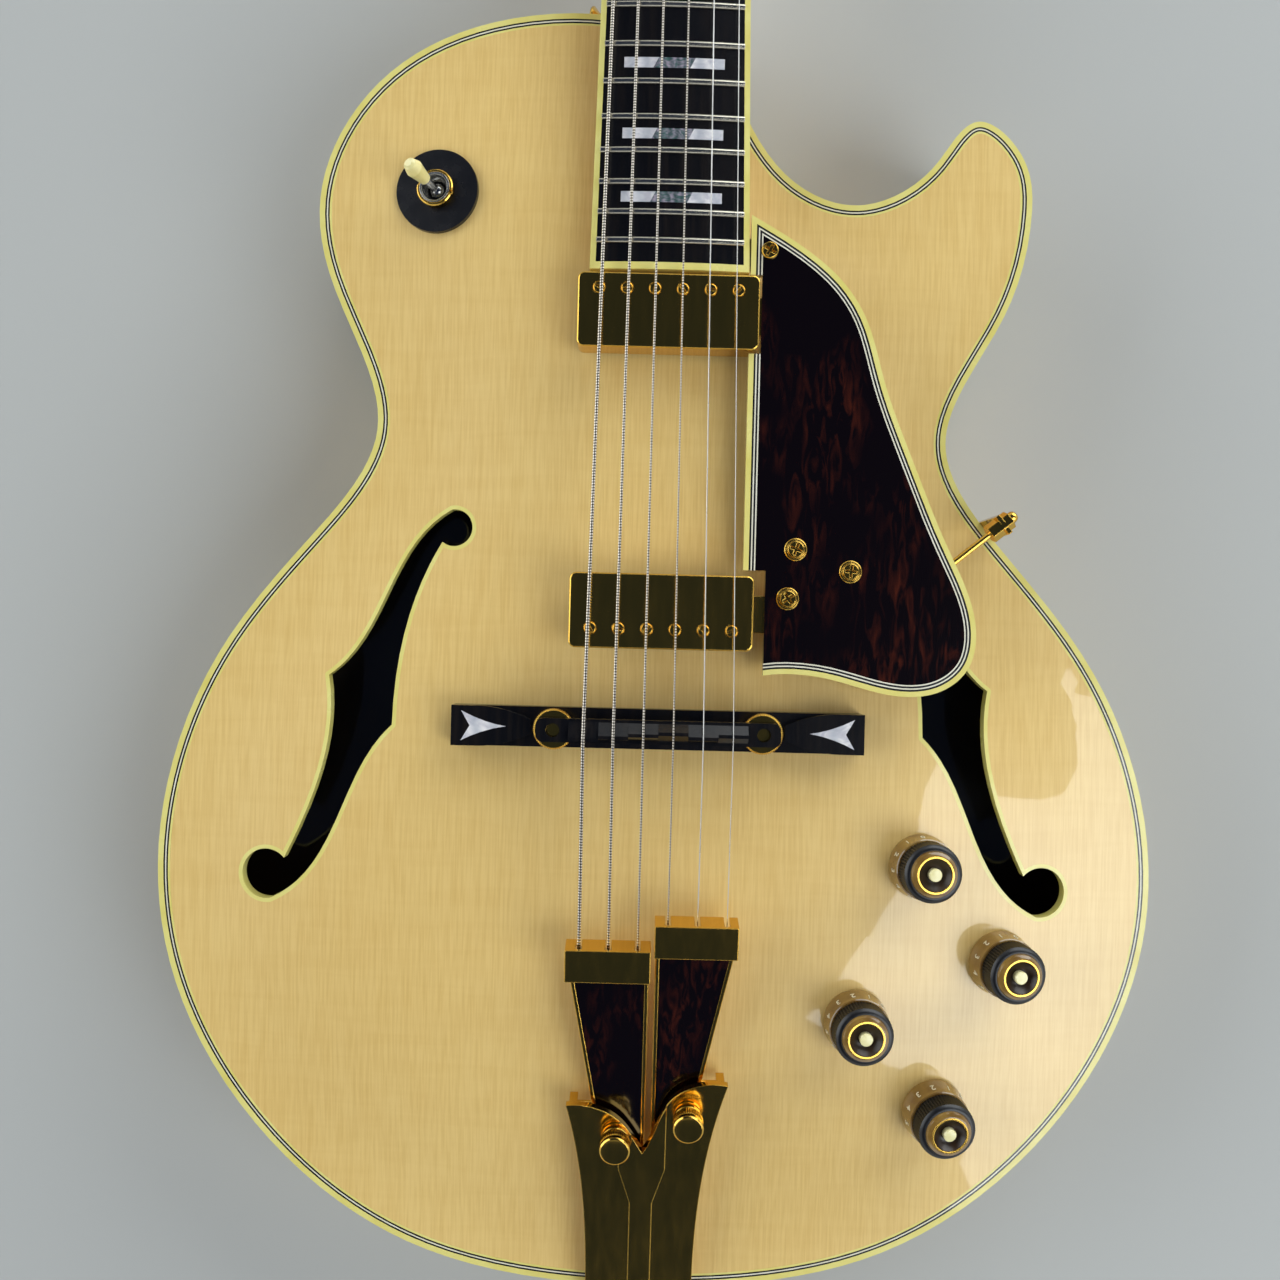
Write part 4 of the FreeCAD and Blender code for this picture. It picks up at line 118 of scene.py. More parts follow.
def stained_wood(name, pale, dark, grain_mm, figure_mm, figure_share, lacquer=1.0, inside=None):
    """Straight-grained wood with soft figure across the grain, under lacquer or bare.

    Fine lines run along the grain and broader bands lie across it. A coat gives the lacquer's mirror.
    Faces that look up take the inside colour where there is one, as painted shade for a dark box's inside.
    """
    roughness = 0.75 - 0.42 * lacquer
    made, tree, shader = finish_of(name, Roughness=roughness, Coat_Weight=lacquer, Coat_Roughness=0.03)
    place = add(tree, "TexCoord")
    spots = place.outputs["Object"]
    grain_scale = per_mm(grain_mm, 30 * grain_mm, 6 * grain_mm)
    grain_place = add(tree, "Mapping", {"Vector": spots, "Scale": grain_scale})
    grain = add(tree, "TexNoise", {"Vector": grain_place.outputs[0], "Scale": 1.0, "Detail": 4.0})
    figure_scale = per_mm(8 * figure_mm, figure_mm, 8 * figure_mm)
    figure_place = add(tree, "Mapping", {"Vector": spots, "Scale": figure_scale})
    figure = add(tree, "TexNoise", {"Vector": figure_place.outputs[0], "Scale": 1.0, "Distortion": 0.6})
    cloud_place = add(tree, "Mapping", {"Vector": spots, "Scale": per_mm(90, 240, 90)})
    cloud = add(tree, "TexNoise", {"Vector": cloud_place.outputs[0], "Scale": 1.0, "Detail": 1.0})
    lines = add(tree, "MapRange", {"Value": grain.outputs[0], "From Min": 0.38, "From Max": 0.68,
                                   "To Max": 0.42})
    bands = add(tree, "MapRange", {"Value": figure.outputs[0], "From Min": 0.4, "From Max": 0.66,
                                   "To Max": figure_share})
    mixed = add(tree, "Math", {0: lines.outputs[0], 1: bands.outputs[0]}, operation="ADD")
    shaded = add(tree, "Math", {0: cloud.outputs[0], 1: 0.35, 2: mixed.outputs[0]},
                 operation="MULTIPLY_ADD")
    colour = add(tree, "Mix", {0: shaded.outputs[0], 6: linear(pale), 7: linear(dark)}, data_type="RGBA")
    # Painted shade: faces that look up turn to the dark inside colour.
    if inside:
        upward = add(tree, "SeparateXYZ", {0: place.outputs["Normal"]})
        inner = add(tree, "MapRange", {"Value": upward.outputs[2], "From Min": 0.2, "From Max": 0.4})
        colour = add(tree, "Mix", {0: inner.outputs[0], 6: colour.outputs[2], 7: linear(inside)},
                     data_type="RGBA")
    tree.links.new(colour.outputs[2], shader.inputs["Base Color"])
    bump = add(tree, "Bump", {"Height": grain.outputs[0], "Strength": 0.05, "Distance": 0.1 * MM})
    tree.links.new(bump.outputs[0], shader.inputs["Normal"])
    return made


# Growth lines stand less than a millimetre apart, with a faint ripple across them.
blonde_top = stained_wood("blonde_top_gloss_lacquer", "#F0D086", "#D9B163",
                          grain_mm=0.7, figure_mm=5.0, figure_share=0.1)
dress(blonde_top, "top_plate")

# Back, sides and neck: flamed maple, the back carved, the sides bent over heat, the neck shaped by hand.
# The same blonde stain and buffed lacquer as the top, with a stronger curl across the grain.
# The inside of the back is raw, its upward faces painted dark brown as painted shade for the dark box.
MAPLE_PALE = "#EFCF85"
MAPLE_DARK = "#C4924A"
CURL = {"grain_mm": 1.0, "figure_mm": 5.0, "figure_share": 0.36}
maple = stained_wood("blonde_flamed_maple_gloss_lacquer", MAPLE_PALE, MAPLE_DARK, **CURL)
back_maple = stained_wood("blonde_flamed_maple_painted_shade_inside", MAPLE_PALE, MAPLE_DARK, inside="#23170C", **CURL)
dress(maple, "sides", "neck")
dress(back_maple, "back_plate")

# Blocks, linings and tone bars: bare spruce, sawn and glued inside the rim and under the top.
# Matt, and painted darker than fresh spruce as painted shade, seen only in shadow through the sound holes.
spruce = stained_wood("bare_spruce_in_painted_shade", "#8D734C", "#67502F",
                      grain_mm=1.2, figure_mm=12.0, figure_share=0.1, lacquer=0.0)
dress(spruce, "inner_frame", "tone_bars")


# Binding: cream celluloid strips glued into rabbets round the edges, sound holes, board and pickguard,
# with thin black and white lines beside them. Scraped flush and buffed with the lacquer.
def solid_plastic(name, main, shade, cloud_mm, roughness=0.28, coat=0.6):
    """Plastic coloured through: faint clouds in its colour, and a slight unevenness in its polish."""
    made, tree, shader = finish_of(name, Roughness=roughness, IOR=1.5,
                                   Coat_Weight=coat, Coat_Roughness=0.05)
    place = add(tree, "TexCoord").outputs["Object"]
    scaled = add(tree, "Mapping", {"Vector": place, "Scale": per_mm(cloud_mm, cloud_mm, cloud_mm)})
    cloud = add(tree, "TexNoise", {"Vector": scaled.outputs[0], "Scale": 1.0, "Detail": 4.0})
    spread = add(tree, "MapRange", {"Value": cloud.outputs[0], "From Min": 0.3, "From Max": 0.7})
    colour = add(tree, "Mix", {0: spread.outputs[0], 6: linear(main), 7: linear(shade)}, data_type="RGBA")
    tree.links.new(colour.outputs[2], shader.inputs["Base Color"])
    rough = add(tree, "MapRange", {"Value": cloud.outputs[0],
                                   "To Min": roughness * 0.8, "To Max": roughness * 1.3})
    tree.links.new(rough.outputs[0], shader.inputs["Roughness"])
    return made


# Old celluloid yellows unevenly, so the cream wanders a little along each strip.
cream_celluloid = solid_plastic("cream_celluloid_buffed", "#EBE28C", "#E0D270", 14)
black_celluloid = solid_plastic("black_celluloid_buffed", "#121214", "#1B1A1A", 10)
white_celluloid = solid_plastic("white_celluloid_buffed", "#EEEBD8", "#E2DDC2", 10)
dress(cream_celluloid, "body_binding", "fretboard_binding", "pickguard_binding")
dress(black_celluloid, "black_lines")
dress(white_celluloid, "white_lines")

# Fretboard, bridge, head veneer and rod cover: ebony, planed, scraped and oiled.
# Nearly black, with faint brown streaks and fine open pores along the grain.
ebony, tree, shader = finish_of("ebony_scraped_and_oiled", Roughness=0.22, IOR=1.45)
place = add(tree, "TexCoord").outputs["Object"]
streak_place = add(tree, "Mapping", {"Vector": place, "Scale": per_mm(2.5, 70, 2.5)})
streak = add(tree, "TexNoise", {"Vector": streak_place.outputs[0], "Scale": 1.0, "Detail": 5.0})
pore_place = add(tree, "Mapping", {"Vector": place, "Scale": per_mm(0.45, 7, 0.45)})
pore = add(tree, "TexNoise", {"Vector": pore_place.outputs[0], "Scale": 1.0, "Detail": 3.0})
spread = add(tree, "MapRange", {"Value": streak.outputs[0], "From Min": 0.42, "From Max": 0.72})
colour = add(tree, "Mix", {0: spread.outputs[0], 6: linear("#0B0B0E"), 7: linear("#1A1614")},
             data_type="RGBA")
tree.links.new(colour.outputs[2], shader.inputs["Base Color"])
rough = add(tree, "MapRange", {"Value": pore.outputs[0], "To Min": 0.16, "To Max": 0.3})
tree.links.new(rough.outputs[0], shader.inputs["Roughness"])
bump = add(tree, "Bump", {"Height": pore.outputs[0], "Strength": 0.1, "Distance": 0.05 * MM})
tree.links.new(bump.outputs[0], shader.inputs["Normal"])


def ease(width_mm, *names):
    """Round the sharp edges of CAD nodes a little, as filing and buffing leave them."""
    for name in names:
        node = frame["nodes"][name]
        weld = node.modifiers.new("weld", "WELD")
        weld.merge_threshold = 0.001 * MM
        bevel = node.modifiers.new("eased_edges", "BEVEL")
        bevel.width = width_mm * MM
        bevel.segments = 2
        bevel.limit_method = "ANGLE"
        bevel.angle_limit = math.radians(40)
        bevel.harden_normals = True


dress(ebony, "fretboard", "bridge_base", "bridge_saddle", "head_overlay", "truss_rod_cover")
ease(0.3, "bridge_base", "bridge_saddle", "truss_rod_cover")


# Inlays: mother of pearl blocks with abalone middles in the board, and pearl arrows in the bridge.
# Cut from shell, glued in pockets and sanded flush, so the layers shimmer in pale colours.
def cut_shell(name, base, glints, layer_mm):
    """Polished shell: wavy layers that turn from a base colour to two glints."""
    made, tree, shader = finish_of(name, Roughness=0.18, IOR=1.6, Coat_Weight=0.8, Coat_Roughness=0.04)
    place = add(tree, "TexCoord").outputs["Object"]
    scaled = add(tree, "Mapping", {"Vector": place, "Scale": per_mm(layer_mm, layer_mm * 0.7, layer_mm)})
    spots = scaled.outputs[0]
    layers = add(tree, "TexNoise", {"Vector": spots, "Scale": 1.0, "Detail": 3.0, "Distortion": 2.0})
    bands = add(tree, "TexWave", {"Vector": spots, "Scale": 0.35, "Distortion": 5.0, "Detail": 2.0})
    folds = add(tree, "MapRange", {"Value": layers.outputs[0], "From Min": 0.36, "From Max": 0.64})
    first = add(tree, "Mix", {0: folds.outputs[0], 6: linear(base), 7: linear(glints[0])}, data_type="RGBA")
    share = add(tree, "Math", {0: bands.outputs[0], 1: 0.6}, operation="MULTIPLY")
    second = add(tree, "Mix", {0: share.outputs[0], 6: first.outputs[2], 7: linear(glints[1])},
                 data_type="RGBA")
    tree.links.new(second.outputs[2], shader.inputs["Base Color"])
    return made


pearl = cut_shell("mother_of_pearl_polished", "#C9C7CE", ("#F0EDEC", "#ACB2BC"), 7)
abalone = cut_shell("abalone_polished", "#4E6A66", ("#A79BAA", "#24403F"), 3)
dress(pearl, "pearl_inlays")
dress(abalone, "abalone_inlays")


# Frets and truss rod: nickel silver wire pressed into slots and filed round, over a steel rod in the neck.
# Bright from use, with fine wiping marks that break the glints.
EASED_MM = 0.4


def polished_metal(name, colour, roughness, wipe_mm):
    """Polished metal: its reflection has its colour, wiping marks vary it, and eased edges catch light."""
    made, tree, shader = finish_of(name, Metallic=1.0, Roughness=roughness, Base_Color=linear(colour))
    place = add(tree, "TexCoord").outputs["Object"]
    scaled = add(tree, "Mapping", {"Vector": place, "Scale": per_mm(wipe_mm, wipe_mm * 6, wipe_mm)})
    wipes = add(tree, "TexNoise", {"Vector": scaled.outputs[0], "Scale": 1.0, "Detail": 6.0})
    rough = add(tree, "MapRange", {"Value": wipes.outputs[0], "From Min": 0.3, "From Max": 0.7,
                                   "To Min": roughness * 0.8, "To Max": roughness * 1.3})
    tree.links.new(rough.outputs[0], shader.inputs["Roughness"])
    edges = add(tree, "Bevel", {"Radius": EASED_MM * MM}, samples=4)
    tree.links.new(edges.outputs[0], shader.inputs["Normal"])
    return made


nickel_silver = polished_metal("nickel_silver_polished", "#CFC9B8", 0.2, 1)
steel = polished_metal("steel_bright_turned", "#B9B8B4", 0.2, 1)
dress(nickel_silver, "frets")
dress(steel, "truss_rod")

# Nut: a bone blank with six filed slots, glued at the end of the board and polished.
# Warm white, with slightly darker flecks.
bone = solid_plastic("bone_polished", "#EFE6CF", "#DDCFAE", 5)
dress(bone, "nut")

# Tuners: cast housings screwed behind the head, with bushings, posts and buttons.
# Zinc and brass, polished and gold plated, so they mirror the room in yellow.
gold = polished_metal("gold_plate_polished", "#E2B653", 0.13, 3)
dress(gold, "tuner_housings")
for number in range(1, 7):
    dress(gold, f"tuner_button_{number}", f"tuner_post_{number}")

# Truss rod cover screws: two small gold slotted screws through the cover into the head.
# Turned heads with a rounded rim and a sawn slot. Sizes are in millimetres, as in all sections below.
HEAD_START = Vector((0, 347.14, 68.7))
HEAD_SLOPE = math.radians(17.6)
COVER_TOP = 4.0
COVER_SCREWS = (8.0, 30.0)
SMALL_SCREW = {"radius": 1.6, "height": 1.2, "bore": 1.25, "arms": 1, "gap": 0.45}


def facing(spot, way):
    """A place at a spot in metres, with its Z axis pointing a given way."""
    return Matrix.Translation(Vector(spot)) @ Vector(way).to_track_quat("Z", "Y").to_matrix().to_4x4()


def turned(form, profile, place, steps=48, shape=None, closed=False):
    """Turn a profile of (radius, height) points, in millimetres, round a place's Z axis."""
    rings = []
    for index, (radius, height) in enumerate(profile):
        if radius == 0:
            rings.append([form.verts.new(place @ Vector((0, 0, height * MM)))])
            continue
        ring = []
        for step in range(steps):
            angle = math.tau * step / steps
            reach, level = shape(index, angle, radius, height) if shape else (radius, height)
            spot = Vector((reach * math.cos(angle), reach * math.sin(angle), level)) * MM
            ring.append(form.verts.new(place @ spot))
        rings.append(ring)
    followers = rings[1:] + rings[:1] if closed else rings[1:]
    for low, high in zip(rings, followers):
        for step in range(steps):
            after = (step + 1) % steps
            if len(low) == 1:
                form.faces.new((low[0], high[after], high[step]))
            elif len(high) == 1:
                form.faces.new((low[step], low[after], high[0]))
            else:
                form.faces.new((low[step], low[after], high[after], high[step]))


def driven_head(form, place, radius, height, bore, arms, gap, turn=0.0):
    """A screw head: a rounded rim round a recess, with raised sectors that leave a slot or a cross."""
    floor = 0.15 * height
    side = [(0, 0), (radius, 0), (radius, 0.45 * height), (0.95 * radius, 0.8 * height)]
    recess = [(0.86 * radius, height), (bore, height), (bore, floor), (0, floor)]
    turned(form, side + recess, place, steps=32)
    lean = math.asin(gap / 2 / bore)
    for sector in range(2 * arms):
        start = turn + math.pi * sector / arms + lean
        end = turn + math.pi * (sector + 1) / arms - lean
        outline = [(bore, start + (end - start) * step / 8) for step in range(9)]
        if arms > 1:
            outline.append((gap / 2 / math.sin(math.pi / 2 / arms), (start + end) / 2))
        walls = []
        for level in (floor, height):
            spots = [Vector((r * math.cos(a), r * math.sin(a), level)) * MM for r, a in outline]
            walls.append([form.verts.new(place @ spot) for spot in spots])
            form.faces.new(walls[-1])
        for step in range(len(outline)):
            after = (step + 1) % len(outline)
            form.faces.new((walls[0][step], walls[0][after], walls[1][after], walls[1][step]))


def piece(name, form, material, body, slot, *nodes, place=None):
    """Make an object of a form, with its finish, riding on a body and standing for CAD nodes."""
    bmesh.ops.recalc_face_normals(form, faces=form.faces)
    mesh = bpy.data.meshes.new(name)
    form.to_mesh(mesh)
    form.free()
    mesh.shade_smooth()
    mesh.set_sharp_from_angle(angle=math.radians(32))
    mesh.materials.append(material)
    made = bpy.data.objects.new(name, mesh)
    bpy.context.scene.collection.objects.link(made)
    if place:
        made.matrix_world = place
    if nodes:
        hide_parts(*nodes)
    if body:
        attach(made, body)
    return made


head_way = Vector((0, math.sin(HEAD_SLOPE), math.cos(HEAD_SLOPE)))
head_along = Vector((0, math.cos(HEAD_SLOPE), -math.sin(HEAD_SLOPE)))
screws = bmesh.new()
for along in COVER_SCREWS:
    spot = HEAD_START + head_along * along + head_way * COVER_TOP
    driven_head(screws, facing(spot * MM, head_way), turn=along, **SMALL_SCREW)
piece("truss_cover_screws", screws, gold, "guitar", "gold_plate", "fasteners")

# Pickguard and tailpiece inlays: tortoiseshell celluloid sheet, sawn out, bevelled and buffed.
# Almost black, with dim red-brown streaks deep in the sheet under a mirror polish.
tortoise, tree, shader = finish_of("tortoise_celluloid_buffed", Roughness=0.14, IOR=1.5,
                                   Coat_Weight=0.5, Coat_Roughness=0.02)
place = add(tree, "TexCoord").outputs["Object"]
streak_place = add(tree, "Mapping", {"Vector": place, "Scale": per_mm(3, 13, 3)})
streak = add(tree, "TexNoise", {"Vector": streak_place.outputs[0], "Scale": 1.0, "Detail": 7.0,
                                "Distortion": 1.0})
patch_place = add(tree, "Mapping", {"Vector": place, "Scale": per_mm(28, 40, 28)})
patch = add(tree, "TexNoise", {"Vector": patch_place.outputs[0], "Scale": 1.0, "Detail": 2.0})
fine = add(tree, "MapRange", {"Value": streak.outputs[0], "From Min": 0.48, "From Max": 0.8})
wide = add(tree, "MapRange", {"Value": patch.outputs[0], "From Min": 0.5, "From Max": 0.72})
both = add(tree, "Math", {0: fine.outputs[0], 1: wide.outputs[0]}, operation="MULTIPLY")
colour = add(tree, "Mix", {0: both.outputs[0], 6: linear("#070101"), 7: linear("#4E1E0D")},
             data_type="RGBA")
tree.links.new(colour.outputs[2], shader.inputs["Base Color"])
dress(tortoise, "pickguard", "tailpiece_bass_inlay", "tailpiece_treble_inlay")

# Pickguard bracket and screws: a polished rod with a hexagon barrel from the guard to the rim,
# and four gold cross-head screws, three of them on washers, through the guard.
saddle_low, saddle_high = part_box("bridge_saddle")
saddle_line = (saddle_low.y + saddle_high.y) / 2
# Each screw's place across the guitar, its place ahead of the saddle, and whether it has a washer.
GUARD_SCREWS = ((36.3, 175.1, False), (48.3, 66.9, True), (68.4, 59.3, True), (45.8, 49.0, True))
GUARD_SCREW = {"radius": 3.2, "height": 1.4, "bore": 2.2, "arms": 2, "gap": 0.95}
WASHER = 4.15
WASHER_BORE = 2.8
WASHER_HIGH = 0.6
dress(gold, "pickguard_brackets")
guard_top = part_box("pickguard")[1].z
screws = bmesh.new()
for across, ahead, has_washer in GUARD_SCREWS:
    seat = Matrix.Translation((across * MM, saddle_line + ahead * MM, guard_top))
    if has_washer:
        ring = [(WASHER_BORE, 0), (WASHER, 0), (WASHER, WASHER_HIGH / 2), (WASHER - 0.3, WASHER_HIGH)]
        turned(screws, ring + [(WASHER_BORE, WASHER_HIGH)], seat, closed=True)
        seat = seat @ Matrix.Translation((0, 0, WASHER_HIGH * MM))
    driven_head(screws, seat, turn=0.3 + ahead, **GUARD_SCREW)
piece("pickguard_screws", screws, gold, "guitar", "gold_plate", "fasteners")

# Pickups: two gold-plated covers drawn from sheet over black coil forms, held by the neck and the guard.
# Six slotted screws stand through each cover, one under each string.
POLE_SCREW = {"radius": 2.2, "height": 0.9, "bore": 1.7, "arms": 1, "gap": 0.75}
POLE_SPACING = 10.1
POLE_SUNK = 0.5
POLE_ROWS = ((159.7, 99.6), (36.6, 105.5))  # ahead of the saddle, and the level of the cover's top
dress(gold, "pickup_covers")
coil_plastic = solid_plastic("black_plastic_moulded", "#101115", "#17171A", 6, roughness=0.25, coat=0.0)
dress(coil_plastic, "pickup_coils")
poles = bmesh.new()
for ahead, cover_top in POLE_ROWS:
    for number in range(6):
        across = (number - 2.5) * POLE_SPACING
        seat = Matrix.Translation((across * MM, saddle_line + ahead * MM, (cover_top - POLE_SUNK) * MM))
        driven_head(poles, seat, turn=0.9 * number + ahead, **POLE_SCREW)
piece("pole_screws", poles, gold, "guitar", "gold_plate", "fasteners")

# Bridge: an ebony foot fitted to the arch, two threaded posts, and a saddle that rides on two wheels.
# The wheels are turned from brass, knurled on the edge and gold plated.
WHEEL = 7.5
WHEEL_HIGH = 3.0
WHEEL_BORE = 2.5
WHEEL_KNURLS = 60
joints = {joint["name"]: joint for joint in frame["joints"]}
dress(gold, "bridge_posts")


def knurled(rows, count, depth):
    """Ribs of a given depth round the named rows of a turned profile."""
    def shape(index, angle, radius, height):
        cut = depth * (0.5 - 0.5 * math.cos(angle * count)) if index in rows else 0.0
        return radius - cut, height
    return shape


def seat_of(joint):
    """The place of a hinge: its point, with Z along its axis."""
    return facing(joints[joint]["pos_m"], joints[joint]["axis"])


for side in ("bass", "treble"):
    wheel = bmesh.new()
    lower = [(WHEEL_BORE, 0), (WHEEL - 0.7, 0), (WHEEL, 0.6)]
    upper = [(WHEEL, WHEEL_HIGH - 0.6), (WHEEL - 0.7, WHEEL_HIGH), (WHEEL_BORE, WHEEL_HIGH)]
    ribs = knurled((2, 3), WHEEL_KNURLS, 0.4)
    turned(wheel, lower + upper, Matrix(), 4 * WHEEL_KNURLS, ribs, closed=True)
    piece(f"{side}_wheel", wheel, gold, f"{side}_thumbwheel", "gold_plate", f"{side}_thumbwheel",
          place=seat_of(f"{side}_thumbwheel_turn"))

# Tailpiece: a bent brass base screwed to the tail, two hinged arms that hold the strings, each with
# a tortoise inlay, and two tall knurled screws that tilt them. Cast, buffed and gold plated.
THUMB_STEM = 2.0
THUMB_KNURLS = 44
LEG_SCREW = {"radius": 3.0, "height": 1.2, "bore": 1.8, "arms": 2, "gap": 0.6}
LEG_SCREWS = (-12.0, 12.0)
LEG_SCREW_LEVEL = 46.0
TAIL_FACE = -502.81
dress(gold, "tailpiece_base", "tailpiece_bass_arm", "tailpiece_treble_arm")
ease(0.35, "tailpiece_bass_arm", "tailpiece_treble_arm")
for half in ("bass", "treble"):
    screw = bmesh.new()
    stem = [(0, -2.0), (THUMB_STEM, -2.0), (THUMB_STEM, 3.3)]
    collar = [(4.6, 3.3), (4.9, 3.6), (4.9, 5.0), (4.4, 5.3), (4.4, 5.9)]
    head = [(5.3, 6.2), (5.5, 6.5), (5.5, 9.4), (5.2, 9.7), (5.2, 10.0), (5.5, 10.3), (5.5, 11.8)]
    top = [(5.0, 12.3), (4.2, 12.2), (0, 12.1)]
    ribs = knurled((9, 10), THUMB_KNURLS, 0.35)
    turned(screw, stem + collar + head + top, Matrix(), 4 * THUMB_KNURLS, ribs)
    piece(f"{half}_tilt_screw", screw, gold, f"tailpiece_{half}_thumbscrew", "gold_plate",
          f"tailpiece_{half}_thumbscrew", place=seat_of(f"tailpiece_{half}_thumbscrew_turn"))
screws = bmesh.new()
for across in LEG_SCREWS:
    seat = facing((across * MM, TAIL_FACE * MM, LEG_SCREW_LEVEL * MM), (0, -1, 0))
    driven_head(screws, seat, turn=across, **LEG_SCREW)
piece("tailpiece_leg_screws", screws, gold, "guitar", "gold_plate", "fasteners")

# Strings: four wound with nickel wire on a steel core, two of plain steel, from slots in the tailpiece
# bars over the saddle and the nut to the tuner posts, where they coil.
# Each lies in stretches: from the tail to the saddle, over the board, over the head, and in a coil that
# rides on its post.
WINDING_MM = 1.0  # coarser than the real 0.4 mm, which is too fine to show
WAVE_UNIT = math.tau / 20  # the scale at which a wave's bands lie one unit apart
RING_GAP = 2.5  # vertices further apart than this along a string belong to two bends
POST = 3.0
COIL_TURNS = 3
COIL_STEPS = 24
COIL_PITCH = 2.05  # in radii of the string, so that the turns just clear each other


def wire_finish(name, colour, winding):
    """Bright drawn wire, with ribs across it where it is wound."""
    made, tree, shader = finish_of(name, Metallic=1.0, Roughness=0.26, Base_Color=linear(colour))
    place = add(tree, "TexCoord").outputs["Object"]
    scaled = add(tree, "Mapping", {"Vector": place, "Scale": per_mm(winding, winding, winding)})
    ribs = add(tree, "TexWave", {"Vector": scaled.outputs[0], "Scale": WAVE_UNIT, "Distortion": 0.4},
               bands_direction="Y")
    rough = add(tree, "MapRange", {"Value": ribs.outputs[0], "To Min": 0.2, "To Max": 0.4})
    tree.links.new(rough.outputs[0], shader.inputs["Roughness"])
    return made, tree, shader, ribs


plain_wire = wire_finish("steel_string_drawn", "#C8C6C2", 40.0)[0]
wound_wire, tree, shader, ribs = wire_finish("nickel_string_wound", "#B4ADA2", WINDING_MM)
# Painted shade and highlight: dark grey in the grooves between the windings, pale on their crests.
colour = add(tree, "Mix", {0: ribs.outputs[0], 6: linear("#6E675C"), 7: linear("#CFC8BC")},
             data_type="RGBA")
tree.links.new(colour.outputs[2], shader.inputs["Base Color"])
bump = add(tree, "Bump", {"Height": ribs.outputs[0], "Strength": 0.5, "Distance": 0.15 * MM})
tree.links.new(bump.outputs[0], shader.inputs["Normal"])


def string_runs(node):
    """Each string of a CAD node, as the middles of the rings where it bends, and its radius."""
    form = bmesh.new()
    form.from_mesh(frame["nodes"][node].data)
    bmesh.ops.remove_doubles(form, verts=form.verts, dist=0.001 * MM)
    waiting = set(form.verts)
    runs = []
    while waiting:
        found = [waiting.pop()]
        for vert in found:
            near = {edge.other_vert(vert) for edge in vert.link_edges} & waiting
            waiting -= near
            found.extend(near)
        found.sort(key=lambda vert: (vert.co.y, vert.co.x, vert.co.z))
        rings = [[found[0].co]]
        for before, vert in zip(found, found[1:]):
            if vert.co.y - before.co.y > RING_GAP * MM:
                rings.append([])
            rings[-1].append(vert.co)
        middles = [sum(ring, Vector()) / len(ring) for ring in rings]
        radius = (max(spot.x for spot in rings[1]) - min(spot.x for spot in rings[1])) / 2
        runs.append((middles, radius))
    form.free()
    return sorted(runs, key=lambda run: run[0][0].x)


def wire(form, spots, radius, sides=10):
    """A closed round wire along a line of spots."""
    turns = [math.tau * side / sides for side in range(sides)]
    rings = []
    for index, spot in enumerate(spots):
        way = (spots[min(index + 1, len(spots) - 1)] - spots[max(index - 1, 0)]).normalized()
        across = way.cross(Vector((0, 0, 1))).normalized()
        up = across.cross(way)
        edge = [spot + (across * math.cos(turn) + up * math.sin(turn)) * radius for turn in turns]
        rings.append([form.verts.new(corner) for corner in edge])
    for low, high in zip(rings, rings[1:]):
        for side in range(sides):
            after = (side + 1) % sides
            form.faces.new((low[side], low[after], high[after], high[side]))
    form.faces.new(rings[0])
    form.faces.new(rings[-1])


def steps_between(start, end, count):
    """Evenly spaced spots from one spot to another, with both of them."""
    return [start.lerp(end, step / count) for step in range(count + 1)]


posts = [(f"tuner_post_{number}", joints[f"tuner_post_{number}_turn"]) for number in range(1, 7)]
for kind, metal in (("wound", wound_wire), ("plain", plain_wire)):
    node = f"{kind}_strings"
    slot_name = f"{kind}_string"
    main = bmesh.new()
    high = bmesh.new()
    head = bmesh.new()
    low = {"bass": bmesh.new(), "treble": bmesh.new()}
    runs = string_runs(node)
    for (tail, saddle, nut_front, nut_back, post_end), radius in runs:
        half = "bass" if tail.x < 0 else "treble"
        middle = tail.lerp(saddle, 0.5)
        wire(low[half], steps_between(tail, middle, 8), radius)
        wire(high, steps_between(middle, saddle, 8), radius)
        wire(main, steps_between(saddle, nut_front, 40), radius)
        body, joint = min(posts, key=lambda post: (Vector(post[1]["pos_m"]) - post_end).length)
        foot = Vector(joint["pos_m"])
        axis = Vector(joint["axis"])
        level = (post_end - foot).dot(axis)
        out = (post_end - foot - axis * level).normalized()
        round_way = axis.cross(out)
        hand = 1 if round_way.y > 0 else -1
        reach = POST * MM + radius
        start = foot + axis * level + out * reach
        wire(head, [nut_front, nut_back] + steps_between(nut_back, start, 6)[1:], radius)
        coil = bmesh.new()
        spots = []
        for step in range(COIL_STEPS * COIL_TURNS + 1):
            angle = hand * math.tau * step / COIL_STEPS
            drop = COIL_PITCH * radius * step / COIL_STEPS
            turn_way = out * math.cos(angle) + round_way * math.sin(angle)
            spots.append(foot + axis * (level - drop) + turn_way * reach)
        wire(coil, spots, radius)
        piece(f"{body}_{kind}_coil", coil, metal, body, slot_name, node)
    span = piece(f"{kind}_strings_span", main, metal, None, slot_name, node)
    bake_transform(span)
    piece(f"{kind}_strings_head", head, metal, "guitar", slot_name, node)
    upper = piece(f"{kind}_strings_behind_saddle", high, metal, None, slot_name, node)
    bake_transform(upper)
    for half, form in low.items():
        if form.verts:
            lower = piece(f"{kind}_strings_at_{half}_arm", form, metal, None, slot_name, node)
            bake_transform(lower)
        else:
            form.free()

